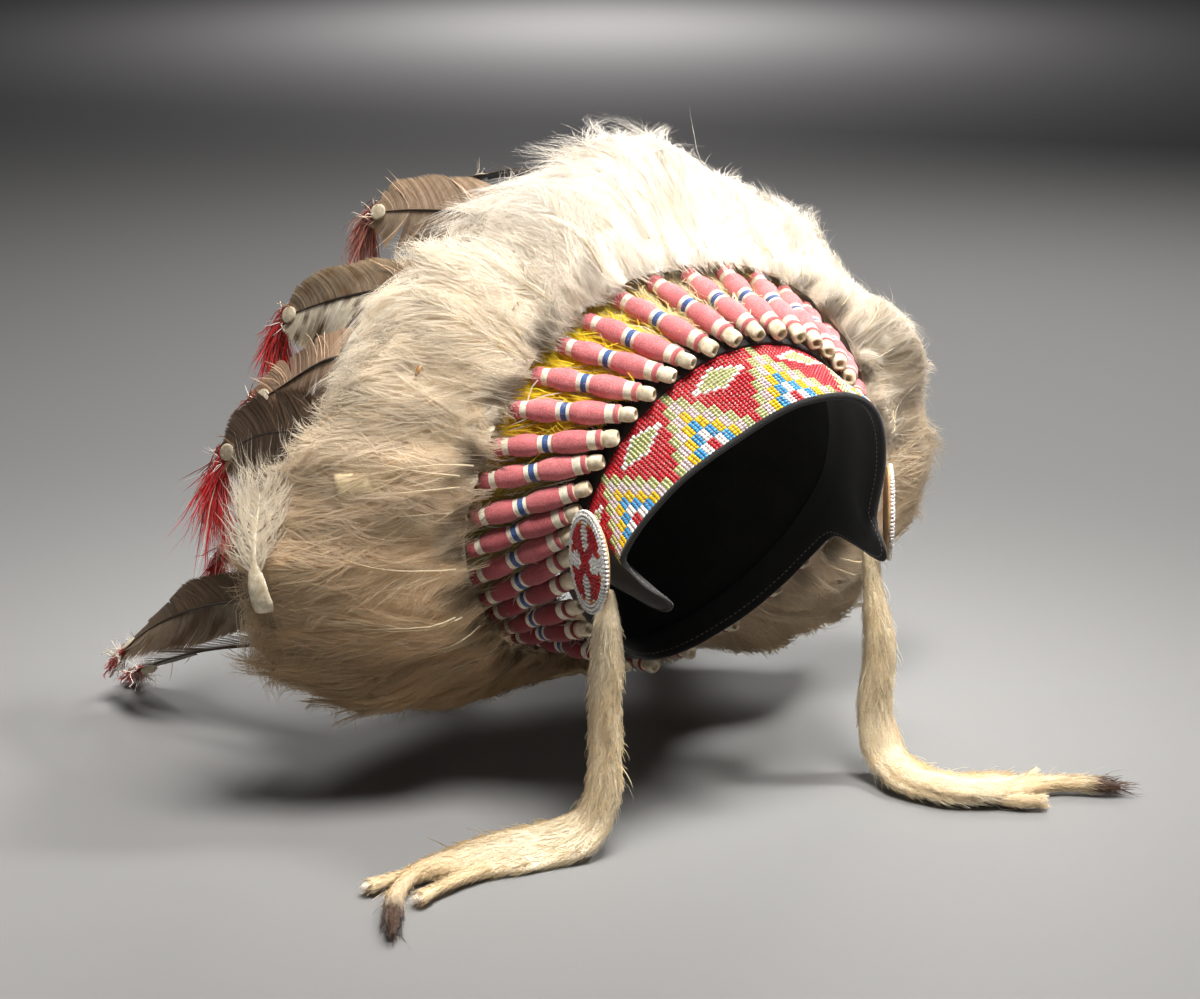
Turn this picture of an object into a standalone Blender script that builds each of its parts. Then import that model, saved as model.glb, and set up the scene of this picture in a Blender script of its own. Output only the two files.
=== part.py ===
"""A Plains war bonnet: felt cap, beaded brow band, wrapped quills, feathers and ermine drops.

Metres, +Z up. The wearer faces -Y and the wearer's right is -X. The origin is the inside top
of the cap, where the wearer's crown carries it. Every piece is one closed solid. An angle
runs around the cap's rim: 0 at the forehead, 90 at the wearer's right ear, 180 at the nape.
"""

import math

import bmesh
import bpy
from mathutils import Vector

# the cap's rim: an oval ring that holds the hide loops of the wrapped quills
RIM_CENTRE = Vector((0.0, 0.0012, -0.0968))
RIM_HALF_WIDTH = 0.0900
RIM_HALF_HEIGHT = 0.1033
RIM_TILT = math.radians(71.6)
NAPE_NARROWING = 0.238
NAPE_SWEEP = 0.0214
RIM_UP = Vector((0.0, -math.cos(RIM_TILT), math.sin(RIM_TILT)))
RIM_BACK = Vector((0.0, math.sin(RIM_TILT), math.cos(RIM_TILT)))

GAP = 0.0004            # clearance between pieces that touch

CAP_INSET = 0.0052      # rim ring to the cap's outer face
CAP_WALL = 0.0020
CAP_DEPTH = 0.0950      # rim plane to the back of the crown
CAP_COLUMNS = 36
CAP_STEPS = (0, 18, 36, 54, 70, 82)     # degrees from the rim towards the back of the crown

BAND_INSET = 0.0068     # rim ring to the beads' outer face
BAND_THICKNESS = 0.0022
BAND_WIDTH = 0.0444     # 24 rows of beads
BAND_END = 83.0         # degrees, where the beadwork stops behind each rosette
BAND_COLUMNS = 40

FELT_WALL = 0.0015
FELT_TUCK = 0.0120      # how far the felt band runs back inside the cap
FELT_EDGE = 0.0034      # black edge that shows below the beadwork
FELT_FRONT = BAND_WIDTH + FELT_EDGE

# degrees of the quills from the forehead to the nape, the same on both sides
QUILL_ANGLES = (
    0.0, 9.0, 17.7, 26.0, 33.4, 41.5, 49.4, 57.8, 65.8, 74.4,
    81.9, 89.2, 96.6, 105.2, 116.3, 127.5, 144.0, 162.0, 180.0,
)
WRAP_LENGTH = 0.0610
WRAP_SIDES = 8

ROSETTE_RADIUS = 0.0250
ROSETTE_THICKNESS = 0.0032

# which way a wrapped quill points, as shares of outward, backward and down-around the rim
WRAP_LEAN = (
    # angle, outward, backward, around
    (0, 0.00, 1.00, 0.00),
    (30, 0.13, 0.91, 0.40),
    (60, 0.38, 0.67, 0.64),
    (90, 0.51, 0.56, 0.65),
    (120, 0.44, 0.72, 0.53),
    (150, 0.30, 0.91, 0.28),
    (180, 0.30, 0.95, 0.00),
)

# a wrapped quill from its hide loop to its outer end
WRAP_PROFILE = (
    # along, radius
    (0.0000, 0.0022),
    (0.0022, 0.0042),
    (0.0095, 0.0043),
    (0.0105, 0.0055),
    (0.0230, 0.0059),
    (0.0330, 0.0056),
    (0.0440, 0.0059),
    (0.0560, 0.0055),
    (0.0610, 0.0042),
)

# the brow band's slope away from the head; it sits a little askew, its right end flared
BAND_LEAN = (
    # angle, outward slope
    (-180, 0.00),
    (-115, 0.00),
    (-98, -0.20),
    (-80, -0.30),
    (-60, -0.19),
    (-30, 0.02),
    (0, -0.08),
    (30, -0.15),
    (60, 0.10),
    (80, 0.26),
    (90, 0.06),
    (100, 0.00),
    (180, 0.00),
)

# the felt band's forward reach beyond the beadwork: an ear tab, then a low edge to the nape
FELT_REACH = (
    # angle, reach
    (85, 0.0520),
    (87, 0.0600),
    (89, 0.0640),
    (91, 0.0660),
    (93, 0.0660),
    (95, 0.0630),
    (97, 0.0570),
    (99, 0.0450),
    (101, 0.0280),
    (104, 0.0160),
    (110, 0.0120),
    (122, 0.0100),
    (136, 0.0090),
    (150, 0.0080),
    (165, 0.0080),
    (180, 0.0080),
)

# each eagle feather: the quill it leaves, its tip, how far its hair tuft hangs, and its arch
EAGLE_FEATHERS = (
    # quill, side, back, up, tuft, lead, settle, fall
    (0, 0.000, 0.228, 0.039, 0.016, 0.42, 0.38, 0.41),
    (1, 0.062, 0.232, 0.028, 0.034, 0.36, 0.30, 0.22),
    (3, 0.116, 0.238, -0.025, 0.046, 0.38, 0.34, 0.37),
    (5, 0.132, 0.244, -0.071, 0.030, 0.58, 0.48, 0.41),
    (7, 0.150, 0.250, -0.101, 0.052, 0.37, 0.39, 0.60),
    (9, 0.144, 0.266, -0.160, 0.030, 0.42, 0.38, 0.52),
    (11, 0.188, 0.310, -0.225, 0.006, 0.25, 0.48, 0.75),
    (13, 0.168, 0.330, -0.2425, 0.001, 0.30, 0.40, 0.52),
    (18, 0.000, 0.330, -0.243, 0.001, 0.30, 0.40, 0.52),
)

# width of an eagle feather along its length
FEATHER_WIDTH = (
    # share, half_width, half_thickness
    (0.00, 0.0026, 0.0018),
    (0.18, 0.0060, 0.0019),
    (0.38, 0.0140, 0.0018),
    (0.58, 0.0185, 0.0017),
    (0.78, 0.0190, 0.0015),
    (0.92, 0.0150, 0.0013),
    (1.00, 0.0080, 0.0012),
)
TUFT_HALF_WIDTH = 0.0065
TUFT_HALF_THICKNESS = 0.0045
TUFT_RUN = 0.012        # how far a tuft carries on past the feather's tip

# the outer edge of the white plumes
PLUME_EDGE = (
    # angle, side, back, up
    (0, 0.000, 0.110, 0.078),
    (15, 0.062, 0.108, 0.062),
    (30, 0.115, 0.098, 0.038),
    (45, 0.160, 0.084, -0.006),
    (60, 0.205, 0.092, -0.056),
    (75, 0.225, 0.096, -0.098),
    (90, 0.221, 0.096, -0.140),
    (105, 0.203, 0.104, -0.173),
    (120, 0.160, 0.100, -0.207),
    (140, 0.103, 0.112, -0.213),
    (160, 0.052, 0.118, -0.213),
    (180, 0.000, 0.124, -0.213),
)

# how far the plumes' inner side stands off the feathers
PLUME_LIFT = (
    # share of the feather, lift
    (0.02, 0.0050),
    (0.16, 0.0056),
    (0.32, 0.0066),
    (0.42, 0.0090),
)

# each ermine skin: a hanging body that bends onto the level its tail lies at
ERMINE_RIGHT = (
    # side, back, up, width, depth
    (-0.0885, -0.0330, -0.1270, 0.010, 0.0050),
    (-0.0905, -0.0330, -0.1480, 0.018, 0.0100),
    (-0.0910, -0.0315, -0.1740, 0.022, 0.0130),
    (-0.0910, -0.0315, -0.2000, 0.022, 0.0140),
    (-0.0925, -0.0305, -0.2220, 0.022, 0.0150),
    (-0.1000, -0.0270, -0.2380, 0.024, 0.0140),
    (-0.1180, -0.0220, -0.2435, 0.028, 0.0130),
    (-0.1420, -0.0180, -0.2440, 0.030, 0.0120),
    (-0.1620, -0.0170, -0.2445, 0.025, 0.0110),
    (-0.1780, -0.0130, -0.2450, 0.014, 0.0100),
    (-0.1920, -0.0150, -0.2455, 0.010, 0.0090),
    (-0.2040, -0.0240, -0.2455, 0.009, 0.0080),
    (-0.2130, -0.0340, -0.2455, 0.010, 0.0085),
    (-0.2260, -0.0530, -0.2460, 0.010, 0.0080),
    (-0.2340, -0.0660, -0.2470, 0.003, 0.0030),
)
ERMINE_RIGHT_LEGS = (
    # start side, back, end side, back
    (-0.160, -0.012, -0.217, -0.0135),
    (-0.156, -0.026, -0.204, -0.0400),
)
ERMINE_LEFT = (
    # side, back, up, width, depth
    (0.0850, -0.0200, -0.1260, 0.010, 0.0050),
    (0.0865, -0.0220, -0.1460, 0.014, 0.0110),
    (0.0880, -0.0255, -0.1700, 0.018, 0.0150),
    (0.0880, -0.0255, -0.1960, 0.018, 0.0160),
    (0.0880, -0.0265, -0.2200, 0.019, 0.0160),
    (0.0885, -0.0350, -0.2370, 0.023, 0.0150),
    (0.0890, -0.0530, -0.2430, 0.026, 0.0130),
    (0.0950, -0.0730, -0.2440, 0.029, 0.0120),
    (0.1070, -0.0860, -0.2440, 0.029, 0.0120),
    (0.1220, -0.0930, -0.2445, 0.024, 0.0110),
    (0.1360, -0.0960, -0.2450, 0.013, 0.0100),
    (0.1470, -0.0980, -0.2455, 0.010, 0.0090),
    (0.1560, -0.1035, -0.2455, 0.010, 0.0085),
    (0.1670, -0.1135, -0.2460, 0.010, 0.0080),
    (0.1750, -0.1200, -0.2470, 0.003, 0.0030),
)
ERMINE_LEFT_LEGS = (
    # start side, back, end side, back
    (0.118, -0.084, 0.149, -0.0830),
    (0.110, -0.096, 0.128, -0.1125),
)
ERMINE_SIDES = 10
LEG_HALF_WIDTH = 0.0048
LEG_UP = -0.2462


# ---------------------------------------------------------------- shared geometry


def read(table, place):
    """Smoothly interpolated columns of a table whose first column is the place."""
    keys = [row[0] for row in table]
    last = len(table) - 1
    place = min(max(place, keys[0]), keys[last])
    i = max(k for k in range(last) if keys[k] <= place)
    span = keys[i + 1] - keys[i]
    t = (place - keys[i]) / span
    found = []
    for column in range(1, len(table[0])):
        a = table[i][column]
        b = table[i + 1][column]
        before = table[max(i - 1, 0)]
        after = table[min(i + 2, last)]
        slope_a = (b - before[column]) / (keys[i + 1] - before[0])
        slope_b = (after[column] - a) / (after[0] - keys[i])
        h = t * t * (3 - 2 * t)
        value = a + (b - a) * h
        value += span * slope_a * t * (1 - t) * (1 - t)
        value -= span * slope_b * t * t * (1 - t)
        found.append(value)
    return found


def rim_point(angle):
    """Point of the rim ring at an angle in degrees, positive on the wearer's right."""
    turn = math.radians(angle)
    height = math.cos(turn)
    nape = 0.5 * (math.sqrt(height * height + 0.01) - height)
    side = -RIM_HALF_WIDTH * math.sin(turn) * (1 - NAPE_NARROWING * nape)
    point = RIM_CENTRE + RIM_UP * (RIM_HALF_HEIGHT * height)
    return point + Vector((side, NAPE_SWEEP * nape * nape, 0.0))


def rim_around(angle):
    """Unit direction along the rim, from the forehead down towards the nape."""
    step = 0.5 if angle >= 0 else -0.5
    return (rim_point(angle + step) - rim_point(angle - step)).normalized()


def rim_outward(angle):
    """Unit direction away from the head, across the rim and its backward axis."""
    around = rim_around(angle)
    outward = around.cross(RIM_BACK)
    if outward.dot(rim_point(angle) - RIM_CENTRE) < 0:
        outward.negate()
    return outward.normalized()


def wrap_direction(angle):
    """Unit direction of the wrapped quill that leaves the rim at an angle."""
    outward, backward, around = read(WRAP_LEAN, abs(angle))
    lean = rim_outward(angle) * outward + RIM_BACK * backward + rim_around(angle) * around
    return lean.normalized()


def wrap_end(angle):
    return rim_point(angle) + wrap_direction(angle) * WRAP_LENGTH


def mirrored(place, angle):
    """A table's side, back and up, on the side of the wearer that the angle is on."""
    side, back, up = place
    return Vector((-side if angle >= 0 else side, back, up))


def band_forward(angle):
    """Unit direction from the band's top edge to its lower edge."""
    lean = read(BAND_LEAN, angle)[0]
    return (rim_outward(angle) * lean - RIM_BACK).normalized()


def bezier(start, lead, before_end, end, t):
    s = 1.0 - t
    return start * s**3 + lead * (3 * s * s * t) + before_end * (3 * s * t * t) + end * t**3


# ---------------------------------------------------------------- mesh helpers


def make_material(name, colour, roughness, metallic=0.0):
    material = bpy.data.materials.new(name)
    material.use_nodes = True
    shader = material.node_tree.nodes["Principled BSDF"]
    shader.inputs["Base Color"].default_value = (*colour, 1.0)
    shader.inputs["Roughness"].default_value = roughness
    shader.inputs["Metallic"].default_value = metallic
    return material


def loft(rings, closed_ends=True, around_closed=False):
    """A mesh through rings of points; the ends are fans, or the last ring meets the first."""
    mesh = bmesh.new()
    rows = [[mesh.verts.new(point) for point in ring] for ring in rings]
    count = len(rows[0])
    pairs = list(zip(rows, rows[1:]))
    if around_closed:
        pairs.append((rows[-1], rows[0]))
    for low, high in pairs:
        for i in range(count):
            j = (i + 1) % count
            mesh.faces.new((low[i], low[j], high[j], high[i]))
    if closed_ends and not around_closed:
        mesh.faces.new(list(reversed(rows[0])))
        mesh.faces.new(rows[-1])
    bmesh.ops.triangulate(mesh, faces=mesh.faces[:])
    bmesh.ops.recalc_face_normals(mesh, faces=mesh.faces[:])
    return mesh


def make_object(name, mesh, material):
    data = bpy.data.meshes.new(name)
    mesh.to_mesh(data)
    mesh.free()
    data.materials.append(material)
    data.shade_smooth()
    data.set_sharp_from_angle(angle=math.radians(40))
    made = bpy.data.objects.new(name, data)
    bpy.context.scene.collection.objects.link(made)
    return made


def oval(centre, across, through, half_width, half_depth, sides):
    points = []
    for i in range(sides):
        turn = 2 * math.pi * i / sides
        offset = across * (half_width * math.cos(turn))
        points.append(centre + offset + through * (half_depth * math.sin(turn)))
    return points


def join_solid(target, extra):
    """Adds a second solid to the first with an exact union."""
    union = target.modifiers.new("union", "BOOLEAN")
    union.operation = "UNION"
    union.solver = "EXACT"
    union.object = extra
    bpy.context.view_layer.objects.active = target
    bpy.ops.object.modifier_apply(modifier=union.name)
    bpy.data.objects.remove(extra)


# ---------------------------------------------------------------- cap, felt band, brow band


def cap_point(angle, rise, inset, depth):
    """Point of the crown: the rim swells back to a rounded end."""
    turn = math.radians(rise)
    rim = rim_point(angle) - rim_outward(angle) * inset
    hub = RIM_CENTRE + RIM_BACK * (depth * math.sin(turn))
    flat = rim - RIM_CENTRE
    return hub + flat * math.cos(turn) ** 0.8


def build_cap(material):
    mesh = bmesh.new()
    angles = [360.0 * i / CAP_COLUMNS - 180.0 for i in range(CAP_COLUMNS)]
    shells = []
    for inset, depth in ((CAP_INSET, CAP_DEPTH + CAP_WALL), (CAP_INSET + CAP_WALL, CAP_DEPTH)):
        rows = []
        for rise in CAP_STEPS:
            rows.append([mesh.verts.new(cap_point(a, rise, inset, depth)) for a in angles])
        pole = mesh.verts.new(RIM_CENTRE + RIM_BACK * depth)
        shells.append((rows, pole))
    for rows, pole in shells:
        for low, high in zip(rows, rows[1:]):
            for i in range(CAP_COLUMNS):
                j = (i + 1) % CAP_COLUMNS
                mesh.faces.new((low[i], low[j], high[j], high[i]))
        for i in range(CAP_COLUMNS):
            mesh.faces.new((rows[-1][i], rows[-1][(i + 1) % CAP_COLUMNS], pole))
    outer, inner = shells[0][0][0], shells[1][0][0]
    for i in range(CAP_COLUMNS):
        j = (i + 1) % CAP_COLUMNS
        mesh.faces.new((outer[i], outer[j], inner[j], inner[i]))
    bmesh.ops.triangulate(mesh, faces=mesh.faces[:])
    bmesh.ops.recalc_face_normals(mesh, faces=mesh.faces[:])
    return make_object("skull_cap", mesh, material)


def band_point(angle, reach, inset):
    top = rim_point(angle) - rim_outward(angle) * inset
    if reach < 0:
        return top - RIM_BACK * reach
    return top + band_forward(angle) * reach


def build_brow_band(material):
    rings = []
    for i in range(BAND_COLUMNS + 1):
        angle = BAND_END * (2.0 * i / BAND_COLUMNS - 1.0)
        inner = BAND_INSET + BAND_THICKNESS
        rings.append([
            band_point(angle, GAP, BAND_INSET),
            band_point(angle, BAND_WIDTH, BAND_INSET),
            band_point(angle, BAND_WIDTH, inner),
            band_point(angle, GAP, inner),
        ])
    return make_object("brow_band", loft(rings), material)


def build_felt_band(material):
    """Black felt inside the brow band, with its edge turned up in front of the beads."""
    outer = BAND_INSET + BAND_THICKNESS + GAP
    inner = outer + FELT_WALL
    half = BAND_COLUMNS // 2
    right = [(BAND_END * (i + 1) / half, FELT_FRONT) for i in range(half)]
    right += FELT_REACH[:-1]
    left = [(-angle, reach) for angle, reach in reversed(right)]
    rings = []
    for angle, reach in [(0.0, FELT_FRONT)] + right + [FELT_REACH[-1]] + left:
        behind_beads = abs(angle) <= BAND_END + 0.1
        edge = BAND_WIDTH + GAP if behind_beads else reach - FELT_EDGE
        lip = BAND_INSET + GAP if behind_beads else outer
        rings.append([
            band_point(angle, -FELT_TUCK, inner),
            band_point(angle, -FELT_TUCK, outer),
            band_point(angle, 0.0, outer),
            band_point(angle, edge, outer),
            band_point(angle, edge + GAP, lip),
            band_point(angle, reach, lip),
            band_point(angle, reach, inner),
            band_point(angle, 0.0, inner),
        ])
    return make_object("felt_band", loft(rings, around_closed=True), material)


# ---------------------------------------------------------------- quills, feathers, plumes


def build_wrap(name, angle, material):
    direction = wrap_direction(angle)
    across = direction.cross(rim_outward(angle)).normalized()
    through = direction.cross(across).normalized()
    rings = []
    for along, radius in WRAP_PROFILE:
        centre = rim_point(angle) + direction * along
        rings.append(oval(centre, across, through, radius, radius, WRAP_SIDES))
    return make_object(name, loft(rings), material)


def feather_line(angle, share):
    """Point of a feather's quill from the wrap's outer end to its tip, between named ones too."""
    rows = [(QUILL_ANGLES[row[0]], *row[1:]) for row in EAGLE_FEATHERS]
    side, back, up, _, lead, settle, fall = read(rows, abs(angle))
    tip = mirrored((side, back, up), angle)
    start = wrap_end(angle)
    direction = wrap_direction(angle)
    length = (tip - start).length
    droop = Vector((tip.x * 0.10, 0.92, -fall)).normalized()
    ahead = start + direction * (lead * length)
    before_tip = tip - droop * (settle * length)
    return bezier(start + direction * GAP, ahead, before_tip, tip, share)


def feather_frame(angle, share):
    """Directions along a feather, across its vane, and out of the bell it lies in."""
    far = feather_line(angle, min(share + 0.02, 1.0))
    along = (far - feather_line(angle, max(share - 0.02, 0.0))).normalized()
    step = 4.0 if angle < 180 else -4.0
    neighbour = feather_line(angle - step, share)
    if 0 < abs(angle) < 180:
        across = feather_line(angle + step, share) - neighbour
    else:
        across = Vector((1.0, 0.0, 0.0)) * neighbour.x
    across = (across - along * across.dot(along)).normalized()
    outward = across.cross(along).normalized()
    if outward.dot(rim_outward(angle)) < 0:
        across.negate()
        outward.negate()
    return along, across, outward


def build_feather(name, angle, tuft, material):
    rings = []
    for share, half_width, half_thickness in FEATHER_WIDTH:
        along, across, outward = feather_frame(angle, share)
        centre = feather_line(angle, share)
        rings.append(oval(centre, across, outward, half_width, half_thickness, 6))
    tip = feather_line(angle, 1.0)
    along, across, outward = feather_frame(angle, 1.0)
    down = Vector((0.0, 0.0, -1.0))
    for share, swell in ((0.35, 1.0), (0.75, 0.9), (1.0, 0.3)):
        run = TUFT_RUN * math.sin(share * math.pi / 2)
        centre = tip + along * run + down * (tuft * share * share)
        lie = (along * TUFT_RUN + down * (2.5 * tuft * share)).normalized()
        through = across.cross(lie).normalized()
        wide = TUFT_HALF_WIDTH * swell
        rings.append(oval(centre, across, through, wide, TUFT_HALF_THICKNESS * swell, 6))
    return make_object(name, loft(rings), material)


def build_plumes(material):
    """The white plumes' outer form: a bell around the feathers, thick at its edge."""
    right = list(QUILL_ANGLES[1:-1])
    rings = []
    for angle in [0.0] + right + [180.0] + [-angle for angle in reversed(right)]:
        edge = mirrored(read(PLUME_EDGE, abs(angle)), angle)
        start = wrap_end(angle)
        direction = wrap_direction(angle)
        outward = feather_frame(angle, 0.0)[2]
        to_edge = edge - start
        inner = []
        for share, lift in PLUME_LIFT:
            inner.append(feather_line(angle, share) + feather_frame(angle, share)[2] * lift)
        rings.append(
            inner
            + [
                inner[-1].lerp(edge, 0.6) + direction * 0.006,
                edge,
                start + to_edge * 0.80 + outward * 0.010 - direction * 0.004,
                start + to_edge * 0.40 + outward * 0.012,
                start + direction * 0.004 + outward * 0.0110,
            ]
        )
    return make_object("plume_ruff", loft(rings, around_closed=True), material)


# ---------------------------------------------------------------- rosettes and ermine


def build_rosette(name, centre, facing, material):
    facing = facing.normalized()
    across = facing.cross(Vector((0.0, 0.0, 1.0))).normalized()
    upward = across.cross(facing).normalized()
    rings = []
    half = ROSETTE_THICKNESS / 2
    for depth, share in ((-half, 0.96), (0.0, 1.0), (half * 0.6, 0.94), (half, 0.30)):
        radius = ROSETTE_RADIUS * share
        rings.append(oval(centre + facing * depth, across, upward, radius, radius, 24))
    return make_object(name, loft(rings), material)


def build_ermine(name, rows, legs, hang_across, material):
    places = [Vector(row[:3]) for row in rows]
    rings = []
    across = Vector(hang_across)
    for i, row in enumerate(rows):
        ahead = places[min(i + 1, len(rows) - 1)]
        behind = places[max(i - 1, 0)]
        along = (ahead - behind).normalized()
        across = (across - along * across.dot(along)).normalized()
        through = along.cross(across).normalized()
        rings.append(oval(places[i], across, through, row[3] / 2, row[4] / 2, ERMINE_SIDES))
    body = make_object(name, loft(rings), material)
    for start_side, start_back, end_side, end_back in legs:
        start = Vector((start_side, start_back, LEG_UP))
        end = Vector((end_side, end_back, LEG_UP))
        along = (end - start).normalized()
        beside = along.cross(Vector((0.0, 0.0, 1.0))).normalized()
        leg_rings = []
        for share, swell in ((0.0, 0.9), (0.45, 1.0), (0.8, 0.8), (0.95, 0.75), (1.0, 0.3)):
            wide = LEG_HALF_WIDTH * swell
            centre = start.lerp(end, share)
            upward = Vector((0.0, 0.0, 1.0))
            leg_rings.append(oval(centre, beside, upward, wide, wide * 0.85, 8))
        join_solid(body, make_object(name + "_leg", loft(leg_rings), material))
    return body


# ---------------------------------------------------------------- the bonnet


def build():
    for old in list(bpy.data.objects):
        bpy.data.objects.remove(old)

    black_felt = make_material("black_felt", (0.018, 0.017, 0.016), 0.95)
    beadwork = make_material("beadwork", (0.55, 0.03, 0.04), 0.30)
    wool = make_material("rose_wool", (0.55, 0.09, 0.15), 0.90)
    eagle = make_material("eagle_feather", (0.055, 0.035, 0.022), 0.60)
    plume = make_material("white_plume", (0.80, 0.74, 0.62), 0.85)
    fur = make_material("ermine_fur", (0.78, 0.62, 0.40), 0.90)

    build_cap(black_felt)
    build_felt_band(black_felt)
    build_brow_band(beadwork)

    for i, angle in enumerate(QUILL_ANGLES):
        build_wrap(f"quill_wrap_right_{i:02d}", angle, wool)
        if 0 < angle < 180:
            build_wrap(f"quill_wrap_left_{i:02d}", -angle, wool)

    for row in EAGLE_FEATHERS:
        i, tuft = row[0], row[4]
        angle = QUILL_ANGLES[i]
        build_feather(f"eagle_feather_right_{i:02d}", angle, tuft, eagle)
        if 0 < angle < 180:
            build_feather(f"eagle_feather_left_{i:02d}", -angle, tuft, eagle)

    build_plumes(plume)

    right_face = Vector((-0.97, 0.235, 0.0))
    left_face = Vector((0.80, -0.60, 0.0))
    build_rosette("rosette_right", Vector((-0.0990, -0.0305, -0.0998)), right_face, beadwork)
    build_rosette("rosette_left", Vector((0.1010, -0.0155, -0.1100)), left_face, beadwork)

    build_ermine("ermine_right", ERMINE_RIGHT, ERMINE_RIGHT_LEGS, (0.0, -1.0, 0.0), fur)
    build_ermine("ermine_left", ERMINE_LEFT, ERMINE_LEFT_LEGS, (1.0, 0.0, 0.0), fur)


build()
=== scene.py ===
import math
import bpy
import numpy as np
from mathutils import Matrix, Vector


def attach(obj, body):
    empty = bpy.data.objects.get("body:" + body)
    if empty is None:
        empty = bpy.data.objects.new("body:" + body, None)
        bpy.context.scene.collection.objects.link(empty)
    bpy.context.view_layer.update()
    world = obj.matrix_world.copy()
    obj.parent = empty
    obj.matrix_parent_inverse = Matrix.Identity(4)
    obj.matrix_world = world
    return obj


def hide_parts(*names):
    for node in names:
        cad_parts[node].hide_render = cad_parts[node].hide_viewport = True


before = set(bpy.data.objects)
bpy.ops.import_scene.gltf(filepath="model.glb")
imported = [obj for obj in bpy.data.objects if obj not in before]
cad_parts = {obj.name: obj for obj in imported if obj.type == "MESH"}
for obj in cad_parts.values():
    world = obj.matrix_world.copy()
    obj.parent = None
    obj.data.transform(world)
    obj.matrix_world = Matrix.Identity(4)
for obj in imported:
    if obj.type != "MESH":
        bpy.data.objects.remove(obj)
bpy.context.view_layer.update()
bpy.ops.object.select_all(action="DESELECT")
rng = np.random.default_rng(20)
print("frame loaded:", len(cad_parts), "nodes")

# ---- camera and light
view = {
    "cameraAt": (-0.8923, -1.1854, 0.3179), "lookAt": (-0.0694, 0.0035, -0.0809), "focal": 90.92,
    "tableHeight": -0.2518, "floorSize": 16.0, "floorGrey": 0.210, "worldColour": (0.93, 0.95, 1.0),
    "world": 0.032,
    "lights": {   # at, towards, size, power, colour, spread in degrees
        "keyLight": ((-0.20, -0.60, 1.63), (-0.17, -0.07, -0.10), 0.70, 15.5, (1.0, 0.97, 0.93), 84.0),
        "fillLight": ((-1.9, -1.3, 0.8), (-0.17, -0.07, -0.10), 1.6, 2.6, (1.0, 0.98, 0.96), 180.0),
        "rimLight": ((1.1, 1.0, 1.0), (-0.17, -0.07, -0.10), 1.0, 24.0, (1.0, 0.98, 0.95), 180.0),
        "sideLight": ((0.90, -0.42, 1.42), (0.18, 0.07, 0.03), 0.4, 1.25, (1.0, 0.98, 0.95), 27.0),
        "backLight": ((1.95, 2.93, 0.33), (1.88, 2.83, -0.25), 0.5, 10.0, (1.0, 0.96, 0.96), 180.0)},
}


def placeAndAim(name, data, at, target):
    holder = bpy.data.objects.new(name, data)
    bpy.context.scene.collection.objects.link(holder)
    holder.location = at
    holder.rotation_euler = (Vector(target) - Vector(at)).to_track_quat("-Z", "Y").to_euler()
    return holder


camera = placeAndAim("camera", bpy.data.cameras.new("camera"), view["cameraAt"], view["lookAt"])
camera.data.lens = view["focal"]
camera.data.sensor_width = 36.0
camera.data.clip_start = 0.05
bpy.context.scene.camera = camera
for name, (at, towards, size, power, colour, spread) in view["lights"].items():
    lamp = bpy.data.lights.new(name, "AREA")
    lamp.shape = "DISK"
    lamp.size = size
    lamp.spread = math.radians(spread)
    lamp.energy = power
    lamp.color = colour
    placeAndAim(name, lamp, at, towards)
studio = bpy.data.worlds.new("studio")
studio.use_nodes = True
studio.node_tree.nodes["Background"].inputs["Color"].default_value = (*view["worldColour"], 1.0)
studio.node_tree.nodes["Background"].inputs["Strength"].default_value = view["world"]
bpy.context.scene.world = studio
bpy.context.scene.view_settings.view_transform = "Standard"

# ---- sums that every piece uses
fullTurn = 2 * math.pi
# what lies on the table stops at these heights
surface = {"skin": -0.2505, "fur": -0.2512, "vane": -0.2508, "looseBarb": -0.2506}


def unit(v):
    return v / np.maximum(np.linalg.norm(v, axis=-1, keepdims=True), 1e-12)


def dot(a, b):
    return np.sum(a * b, axis=-1, keepdims=True)


def mix(first, second, share):
    return np.asarray(first) * (1 - share) + np.asarray(second) * share


def spokes(side, through, turns):
    # directions round a line, one for each turn
    return side[:, None] * np.cos(turns)[None, :, None] + through[:, None] * np.sin(turns)[None, :, None]


def lengthOf(line):
    return np.linalg.norm(np.diff(line, axis=0), axis=1).sum()


def runOf(line):
    # how far along the line each of its points lies
    return np.concatenate(([0], np.cumsum(np.linalg.norm(np.diff(line, axis=0), axis=1))))


def alongLine(places, values, at):
    return np.stack([np.interp(at, places, values[:, k]) for k in range(values.shape[1])], -1)


def straightTable(table, place):
    rows = np.array(table, float)
    return alongLine(rows[:, 0], rows[:, 1:], place)


def readTable(table, place):
    # a table whose first column is the place, read as smooth curves
    t = np.asarray(table, float)
    place = np.clip(np.asarray(place, float), t[0, 0], t[-1, 0])
    i = np.clip(np.searchsorted(t[:, 0], place, side="right") - 1, 0, len(t) - 2)
    before, after = t[np.maximum(i - 1, 0)], t[np.minimum(i + 2, len(t) - 1)]
    a, b = t[i], t[i + 1]
    span = (b - a)[..., :1]
    s = (place - a[..., 0])[..., None] / span
    slopeA = (b - before) / (b - before)[..., :1]
    slopeB = (after - a) / (after - a)[..., :1]
    value = a + (b - a) * (s * s * (3 - 2 * s))
    value = value + span * slopeA * s * (1 - s) ** 2 - span * slopeB * s * s * (1 - s)
    return value[..., 1:]


def smoothNoise(seed, waves=6, low=1.0, high=4.0):
    # a soft field over two numbers, about -1 to 1
    own = np.random.default_rng(seed)
    turn, phase = own.uniform(0, fullTurn, waves), own.uniform(0, fullTurn, waves)
    pitch = own.uniform(low, high, waves)

    def field(x, y):
        total = 0
        for a, p, w in zip(turn, phase, pitch):
            total = total + np.sin(w * (x * math.cos(a) + y * math.sin(a)) + p)
        return total / math.sqrt(waves) / 0.9
    return field


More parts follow.
